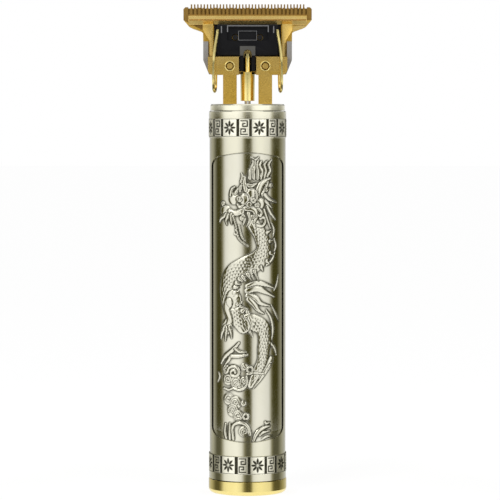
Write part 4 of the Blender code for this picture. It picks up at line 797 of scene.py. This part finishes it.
# %% Clouds and waves of the front panel
PUFFS = [((-6.2, 36.2), 1.6), ((-3.4, 35.3), 1.8), ((-1.0, 35.8), 1.1), ((-1.0, 40.1), 1.0),
         ((-6.7, 39.2), 1.3), ((-2.7, 34.0), 1.2), ((-6.0, 30.1), 1.6), ((-3.8, 29.0), 1.7),
         ((-4.7, 26.6), 1.7), ((-3.0, 25.1), 1.4), ((-1.4, 28.8), 0.8), ((-1.2, 20.1), 1.4)]
CLOUD_STROKES = [
    ([(-7.5, 33.4), (-6.0, 32.9), (-4.5, 33.4), (-2.7, 32.9), (-1.0, 33.6), (-0.13, 35.3),
      (-0.35, 37.1)], [0.25, 0.35, 0.25], 0.26),
    ([(-0.13, 37.9), (2.05, 38.2), (5.1, 37.9)], [0.3, 0.4, 0.15], 0.24),
    ([(-9.2, 38.2), (-8.8, 36.8), (-9.3, 35.2)], [0.15, 0.4, 0.15], 0.22),
    ([(-6.9, 22.3), (-7.1, 19.6), (-6.7, 17.6)], [0.3, 0.55, 0.4], 0.34),
    ([(-5.6, 22.5), (-5.6, 19.6), (-5.6, 17.6)], [0.3, 0.55, 0.4], 0.34),
    ([(-4.5, 17.7), (-4.7, 21.4), (-3.2, 22.7), (-1.0, 22.5), (0.3, 21.2), (0.74, 19.2)],
     [0.45, 0.45], 0.34),
    ([(1.8, 17.0), (2.5, 18.8), (3.6, 20.3), (5.3, 21.2), (7.05, 21.6)], [0.35, 0.6, 0.55, 0.2], 0.36),
    ([(5.5, 22.9), (6.0, 22.5), (7.05, 22.7)], [0.35, 0.4, 0.15], 0.28),
    ([(3.8, 18.8), (4.9, 19.65), (7.3, 20.1)], [0.35, 0.4, 0.12], 0.26),
    ([(4.6, 17.6), (6.0, 18.3), (8.0, 18.5)], [0.3, 0.35, 0.12], 0.22),
]


def lay_strokes(sheet, strokes):
    for points, widths, high in strokes:
        stroke(sheet, points, widths, high)


def front_panel():
    sheet = Sheet(arc_length(PANEL_HALF_X), PANEL_LOW, PANEL_TOP)
    lay_strokes(sheet, BACK_STROKES)
    stroke(sheet, TAIL, [2.4, 2.4, 2.1, 1.5, 0.9], 0.32, scales=True)
    stroke(sheet, BODY, [1.9, 2.5, 3.0, 3.1, 2.9, 2.2], 0.34, scales=True)
    spikes = smooth_route(BODY, 2)
    for here, ahead in zip(spikes[2:], spikes[3:]):
        side = np.array([here[1] - ahead[1], ahead[0] - here[0]])
        side /= np.hypot(*side)
        foot, tip = here + side * 2.4, here + side * 3.9
        part = sheet.part(*((foot + tip) / 2), 2.0, 2.0)
        t = np.clip(((sheet.s[part] - foot[0]) * side[0] + (sheet.z[part] - foot[1]) * side[1]) / 1.5,
                    0, 1)
        off = np.hypot(sheet.s[part] - foot[0] - side[0] * 1.5 * t,
                       sheet.z[part] - foot[1] - side[1] * 1.5 * t)
        sheet.lay(part, off / (0.62 - 0.5 * t), 0.5, 0.28)
    for centre, half_x, half_z, high in FOOT_OVALS + HEAD_OVALS:
        oval(sheet, centre, half_x, half_z, high)
    lay_strokes(sheet, NEAR_STROKES)
    for centre, radius in CURLS:
        spiral(sheet, centre, 0.1, radius, 1.3, 0.26, 0.32, start=centre[1])
    for centre, radius in PUFFS:
        oval(sheet, centre, radius * 1.15, radius * 1.15, 0.28)
        spiral(sheet, centre, 0.15, radius * 0.8, 1.3, 0.24, 0.16, start=centre[0])
    spiral(sheet, (-4.3, 38.4), 0.4, 2.1, 1.5, 0.45, 0.34)
    for centre, radius in (((1.8, 91.4), 0.55), ((0.74, 39.2), 0.9), ((-0.57, 24.65), 0.8)):
        spiral(sheet, centre, radius, radius, 1.0, 0.28, 0.3)
    lay_strokes(sheet, CLOUD_STROKES)
    panel_piece("relief_panel_front", sheet)


def rear_panel():
    """Cloud scrolls above and waves below, clear of the power switch."""
    sheet = Sheet(arc_length(PANEL_HALF_X), PANEL_LOW, PANEL_TOP)
    for x, z, radius, way in ((-4.2, 96.5, 2.6, 1), (3.4, 92.0, 3.0, -1), (-3.6, 85.5, 2.4, 1),
                              (4.6, 82.0, 1.9, -1), (-4.0, 41.5, 2.8, -1), (3.8, 37.0, 2.5, 1),
                              (-2.4, 31.5, 2.1, 1)):
        for ring, offset in enumerate(((radius * way * 0.9, -0.8), (-radius * way * 0.7, 1.1), (0, 0))):
            oval(sheet, (x + offset[0], z + offset[1]), radius * (0.55 + 0.2 * (ring == 2)),
                 radius * (0.5 + 0.2 * (ring == 2)), 0.26)
        spiral(sheet, (x, z), 0.3, radius * 0.8, 1.6 * way, 0.38, 0.3, start=1.2 * way)
        stroke(sheet, [(x + way * radius, z - 1.0), (x + way * (radius + 1.4), z - 1.8),
                       (x + way * (radius + 3.0), z - 1.5)], [0.5, 0.4, 0.12], 0.28)
    for row in range(3):
        for column in range(-3, 4):
            x = column * 3.0 + 1.5 * (row % 2)
            if abs(x) < 9.5:
                for radius in (1.7, 1.1, 0.5):
                    arch = [(x + radius * math.cos(a), 18.2 + row * 2.3 + radius * math.sin(a))
                            for a in np.linspace(0.1, math.pi - 0.1, 7)]
                    stroke(sheet, arch, [0.26, 0.26], 0.24)
    panel_piece("relief_panel_rear", sheet, behind=True)


front_panel()
rear_panel()
print("ready:", "clouds and waves of the front panel")

# %% [markdown]
# ## The two patterned bands
# A ring of eight flowers and eight frets runs round each end of the barrel. Each flower stands in a
# pale square and each fret in a narrow one, and their lines are cut in and filled with patina.
# The ring is the same kind of sheet, closed round the barrel.

# %% Flowers and frets
BAND_REPEATS = 8
FLOWER_HALF = 2.3
FRET_HALF = 1.5
CELL_HALF_Z = 2.55
FRET_LINES = [[(-1.0, 2.1), (1.0, 2.1), (1.0, 0.4), (-0.4, 0.4), (-0.4, 1.25), (0.3, 1.25)],
              [(1.0, -2.1), (-1.0, -2.1), (-1.0, -0.4), (0.4, -0.4), (0.4, -1.25), (-0.3, -1.25)]]


def flower_cut(u, v):
    """1 inside eight petals round the cell's centre."""
    reach = np.hypot(u, v * 0.92)
    turn = np.mod(np.arctan2(v, u) + math.pi / 8, math.pi / 4) - math.pi / 8
    along, across = reach * np.cos(turn), reach * np.abs(np.sin(turn))
    petal = 0.36 * np.sin(math.pi * np.clip((along - 0.3) / 1.8, 0, 1)) ** 0.7
    return np.clip((petal - across) / 0.08 + 0.5, 0, 1)


def fret_cut(u, v):
    nearest = np.full(u.shape, 9.0)
    for line in FRET_LINES:
        for (u0, v0), (u1, v1) in zip(line, line[1:]):
            du, dv = u1 - u0, v1 - v0
            t = np.clip(((u - u0) * du + (v - v0) * dv) / (du * du + dv * dv), 0, 1)
            nearest = np.minimum(nearest, np.hypot(u - u0 - t * du, v - v0 - t * dv))
    return np.clip((0.2 - nearest) / 0.08 + 0.5, 0, 1)


def band_ring(name, middle, half_z, first_flower):
    """first_flower is the angle of one flower from the front line, in degrees."""
    half = math.pi * BAND_R
    sheet = Sheet(half, middle - half_z, middle + half_z, 0.15)
    pitch = 2 * half / BAND_REPEATS
    u = np.mod(sheet.s - math.radians(first_flower) * BAND_R + pitch / 2, pitch) - pitch / 2
    far = np.where(u > 0, u - pitch / 2, u + pitch / 2)
    v = sheet.z - middle
    in_flower = np.abs(u) < FLOWER_HALF
    in_fret = np.abs(far) < FRET_HALF
    cut = np.where(in_flower, flower_cut(u, v), np.where(in_fret, fret_cut(far, v), 1.0))
    cut = np.where(np.abs(v) > CELL_HALF_Z, 1.0, cut)
    cut = np.where(np.abs(v) > half_z - 0.08, 0.0, cut)
    sheet.height = 0.09 - 0.07 * cut
    wrapped(name, sheet, BAND_R, np.ones(cut.shape, bool), cut, closed=True,
            finish=BAND_FINISH)


band_ring("band_ring_upper", 113.7, 2.8, 17.4)
band_ring("band_ring_lower", 9.55, 2.8, 15.0)
print("ready:", "flowers and frets")

# %% [markdown]
# ## Dressing the model's own pieces
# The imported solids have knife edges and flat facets. A dressed piece is a copy of its solid,
# welded, with each hard edge rounded by a small Bevel and the round stretches shaded smooth. It
# replaces its solid in the picture only. Pieces that are out of sight inside keep their solid and
# get the finish.

# %% Dress the pieces
def finish_slot(obj, node, slot=None):
    slot = slot or SLOT_OF[node]
    obj.data.materials.clear()
    obj.data.materials.append(FINISH[slot])


def dressed(node, name, edge=0.08, segments=2):
    """A welded copy of a node with rounded edges, shown in its place."""
    mesh = frame["nodes"][node].data.copy()
    mesh.name = name
    bm = bmesh.new()
    bm.from_mesh(mesh)
    bmesh.ops.remove_doubles(bm, verts=bm.verts, dist=0.002 * MM)
    bmesh.ops.dissolve_limit(bm, angle_limit=math.radians(0.5), verts=bm.verts, edges=bm.edges)
    bm.to_mesh(mesh)
    bm.free()
    piece = bpy.data.objects.new(name, mesh)
    scene.collection.objects.link(piece)
    mesh.shade_smooth()
    mesh.set_sharp_from_angle(angle=math.radians(30))
    rounding = piece.modifiers.new("edges", "BEVEL")
    rounding.width = edge * MM
    rounding.segments = segments
    rounding.limit_method = "ANGLE"
    rounding.angle_limit = math.radians(35)
    rounding.harden_normals = True
    rounding.miter_outer = "MITER_ARC"
    finish_slot(piece, node)
    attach(piece, BODY_OF[node])
    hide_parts(node)
    return piece


def round_shading(piece):
    """Turns the shading of the barrel's round faces exactly outwards or inwards."""
    mesh = piece.data
    normals = []
    for face in mesh.polygons:
        for index in face.vertices:
            outward = Vector((*mesh.vertices[index].co.xy, 0.0)).normalized()
            lean = outward.dot(face.normal)
            level = abs(face.normal.z) < 0.1 and abs(lean) > 0.98
            normals.append(outward * math.copysign(1.0, lean) if level else face.normal)
    mesh.normals_split_custom_set(normals)


def refinish(piece, finish, chosen):
    """Gives another finish to the faces that chosen picks by their centre, in millimetres."""
    piece.data.materials.append(finish)
    for face in piece.data.polygons:
        if chosen(face.center / MM):
            face.material_index = len(piece.data.materials) - 1


EDGE = {
    "body_tube": 0.06, "end_cap": 0.12, "top_collar": 0.12, "head_frame": 0.15, "comb_blade": 0.07,
    "cutter_blade": 0.06, "cutter_carrier": 0.12, "blade_base": 0.12, "eccentric_cam": 0.1,
    "switch_bezel": 0.15, "switch_knob": 0.12, "port_bezel": 0.1, "charge_socket": 0.06,
    "blade_screw_left": 0.1, "blade_screw_right": 0.1, "tension_spring_left": 0.02,
    "tension_spring_right": 0.02,
}
DRESSED = {}
for node in sorted(BODY_OF):
    if node in EDGE:
        DRESSED[node] = dressed(node, node + "_dressed", EDGE[node])
    else:
        solid = frame["nodes"][node]
        solid.data.materials.clear()
        solid.data.materials.append(FINISH[SLOT_OF[node]])
tube = DRESSED["body_tube"]
tube.modifiers.clear()
round_shading(tube)
print("dressed", len(EDGE), "pieces")

# %% [markdown]
# ## Details of the head
# The teeth are painted a darker brown than the bar behind them, as painted shade over the toothed
# edge. A dark sheet behind the comb's teeth, from their roots up, is painted shade for the gaps
# between them, an apron bridges the step from the cutter's bar to its carrier, and the carrier
# carries a few moulded ribs, painted paler grey as painted sheen. The base is near-black in its
# middle as painted shade between the seats, and its cheeks have its own smoke grey.

# %% Teeth, gap shade sheet, apron and cheeks
CUTTER_LOW_EDGE, BLADE_TOP = span("cutter_carrier", "z")[1] + 0.3, span("comb_blade", "z")[1]
TOOTH_FOOT = BLADE_TOP - 3.2
COMB_BACK = span("comb_blade", "y")[1]
HALF_BLADE = span("comb_blade", "x")[1]
# Painted shade: the faces of the teeth get the darker brown that stands in for shade.
refinish(DRESSED["cutter_blade"], TOOTH_SHADE_FINISH, lambda at: at.z > TOOTH_FOOT + 0.05)
refinish(DRESSED["comb_blade"], TOOTH_SHADE_FINISH,
         lambda at: TOOTH_FOOT + 0.05 < at.z < BLADE_TOP - 1.2 and abs(at.x) < HALF_BLADE - 1.4)
TIP_SLICE = 0.05
refinish(DRESSED["comb_blade"], TIP_FINISH, lambda at: at.z > BLADE_TOP - TIP_SLICE)
# Painted shade: the base's near-black middle stands in for the shade between the seats.
DRESSED["blade_base"].data.materials[0] = BASE_SHADE_FINISH


def swept_along_x(name, section, half_x, finish, body):
    """A bar with a (y, z) section in millimetres, running along X."""
    bm = bmesh.new()
    ends = [[bm.verts.new((x * MM, y * MM, z * MM)) for y, z in section]
            for x in (-half_x, half_x)]
    count = len(section)
    for i in range(count):
        j = (i + 1) % count
        bm.faces.new((ends[0][i], ends[0][j], ends[1][j], ends[1][i]))
    bm.faces.new(ends[0][::-1])
    bm.faces.new(ends[1])
    bmesh.ops.recalc_face_normals(bm, faces=bm.faces)
    mesh = bpy.data.meshes.new(name)
    bm.to_mesh(mesh)
    bm.free()
    mesh.materials.append(finish)
    piece = bpy.data.objects.new(name, mesh)
    scene.collection.objects.link(piece)
    rounding = piece.modifiers.new("edges", "BEVEL")
    rounding.width = 0.05 * MM
    rounding.segments = 2
    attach(piece, body)
    return piece


# Painted shade: a dark sheet behind the comb's teeth stands in for the shade seen in the gaps between them.
gap_shade_y = COMB_BACK - 0.7
swept_along_x("comb_gap_shade_sheet", [(gap_shade_y, TOOTH_FOOT - 0.2), (gap_shade_y + 0.55, TOOTH_FOOT - 0.2),
                           (gap_shade_y + 0.55, TOOTH_FOOT + 0.4), (gap_shade_y + 0.2, BLADE_TOP - 1.25),
                           (gap_shade_y, BLADE_TOP - 1.25)],
              HALF_BLADE - 1.5, TOOTH_SHADE_FINISH, "barrel")
bar_front = span("cutter_blade", "y")[0]
swept_along_x("bar_apron", [(bar_front + 0.9, CUTTER_LOW_EDGE + 1.2),
                            (bar_front - 0.05, CUTTER_LOW_EDGE + 1.1),
                            (bar_front + 0.3, CUTTER_LOW_EDGE - 0.15),
                            (bar_front + 0.4, CUTTER_LOW_EDGE - 0.25),
                            (bar_front + 0.9, CUTTER_LOW_EDGE - 0.25)],
              HALF_BLADE - 1.7, FINISH["titanium_gold"], "cutter")


def bead(name, points, radius, finish, body, closed=False):
    """A moulded rib along straight runs between points in millimetres."""
    curve = bpy.data.curves.new(name, "CURVE")
    curve.dimensions = "3D"
    curve.bevel_depth = radius * MM
    curve.bevel_resolution = 3
    curve.use_fill_caps = True
    line = curve.splines.new("POLY")
    line.points.add(len(points) - 1)
    for point, place in zip(line.points, points):
        point.co = (*(Vector(place) * MM), 1.0)
    line.use_cyclic_u = closed
    curve.materials.append(finish)
    piece = bpy.data.objects.new(name, curve)
    scene.collection.objects.link(piece)
    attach(piece, body)


front_y = span("cutter_carrier", "y")[0]
face_y = span("blade_base", "y")[0]
rib_top = CUTTER_LOW_EDGE - 0.75
# Painted highlight, partly: a raised bead of polished gold, paler than the seat, round each blade screw
# stands in for the bright C-shaped glint on the rim of the seat's hole; its shape catches light and its
# paler gold is painted highlight.
SEAT_RING_R = 1.45
SEAT_RING_WIRE = 0.2
SEAT_RING_PROUD = 0.4
SEAT_RING_POINTS = 28
seat_y = span("blade_screw_left", "y")[0] - SEAT_RING_PROUD
for side in ("left", "right"):
    screw_x = sum(span("blade_screw_" + side, "x")) / 2
    screw_z = sum(span("blade_screw_" + side, "z")) / 2
    ring = [(screw_x + SEAT_RING_R * math.cos(a), seat_y, screw_z + SEAT_RING_R * math.sin(a))
            for a in np.linspace(0, 2 * math.pi, SEAT_RING_POINTS, endpoint=False)]
    bead("seat_glint_ring_" + side, ring, SEAT_RING_WIRE, FINISH["polished_gold"],
         "barrel", closed=True)
# The ribs are real shape; their paler grey is painted sheen.
bead("carrier_frame_rib", [(-6.2, face_y + 0.02, rib_top - 1.9), (-6.2, face_y + 0.02, rib_top),
                           (6.4, face_y + 0.02, rib_top), (6.4, face_y + 0.02, rib_top - 1.9)],
     0.2, RIB_SHEEN_FINISH, "cutter")
for side, x in (("left", -8.1), ("right", 8.1)):
    bead("carrier_short_rib_" + side, [(x, face_y + 0.02, rib_top - 2.2), (x, face_y + 0.02, rib_top - 0.1)],
         0.2, RIB_SHEEN_FINISH, "cutter")
bead("carrier_panel_rib", [(-2.8, face_y + 0.05, rib_top - 4.4), (-2.8, face_y + 0.05, rib_top - 1.6),
                           (2.8, face_y + 0.05, rib_top - 1.6), (2.8, face_y + 0.05, rib_top - 4.4),
                           (-2.8, face_y + 0.05, rib_top - 4.4)],
     0.09, RIB_SHEEN_FINISH, "cutter")
# Painted sheen: the fork's front faces get the paler grey that stands in for reflected light.
refinish(DRESSED["cutter_carrier"], FORK_SHEEN_FINISH, lambda at: at.y < face_y - 0.3 and abs(at.x) < 3.2)
print("teeth from", round(TOOTH_FOOT, 2), "to", round(BLADE_TOP, 2))
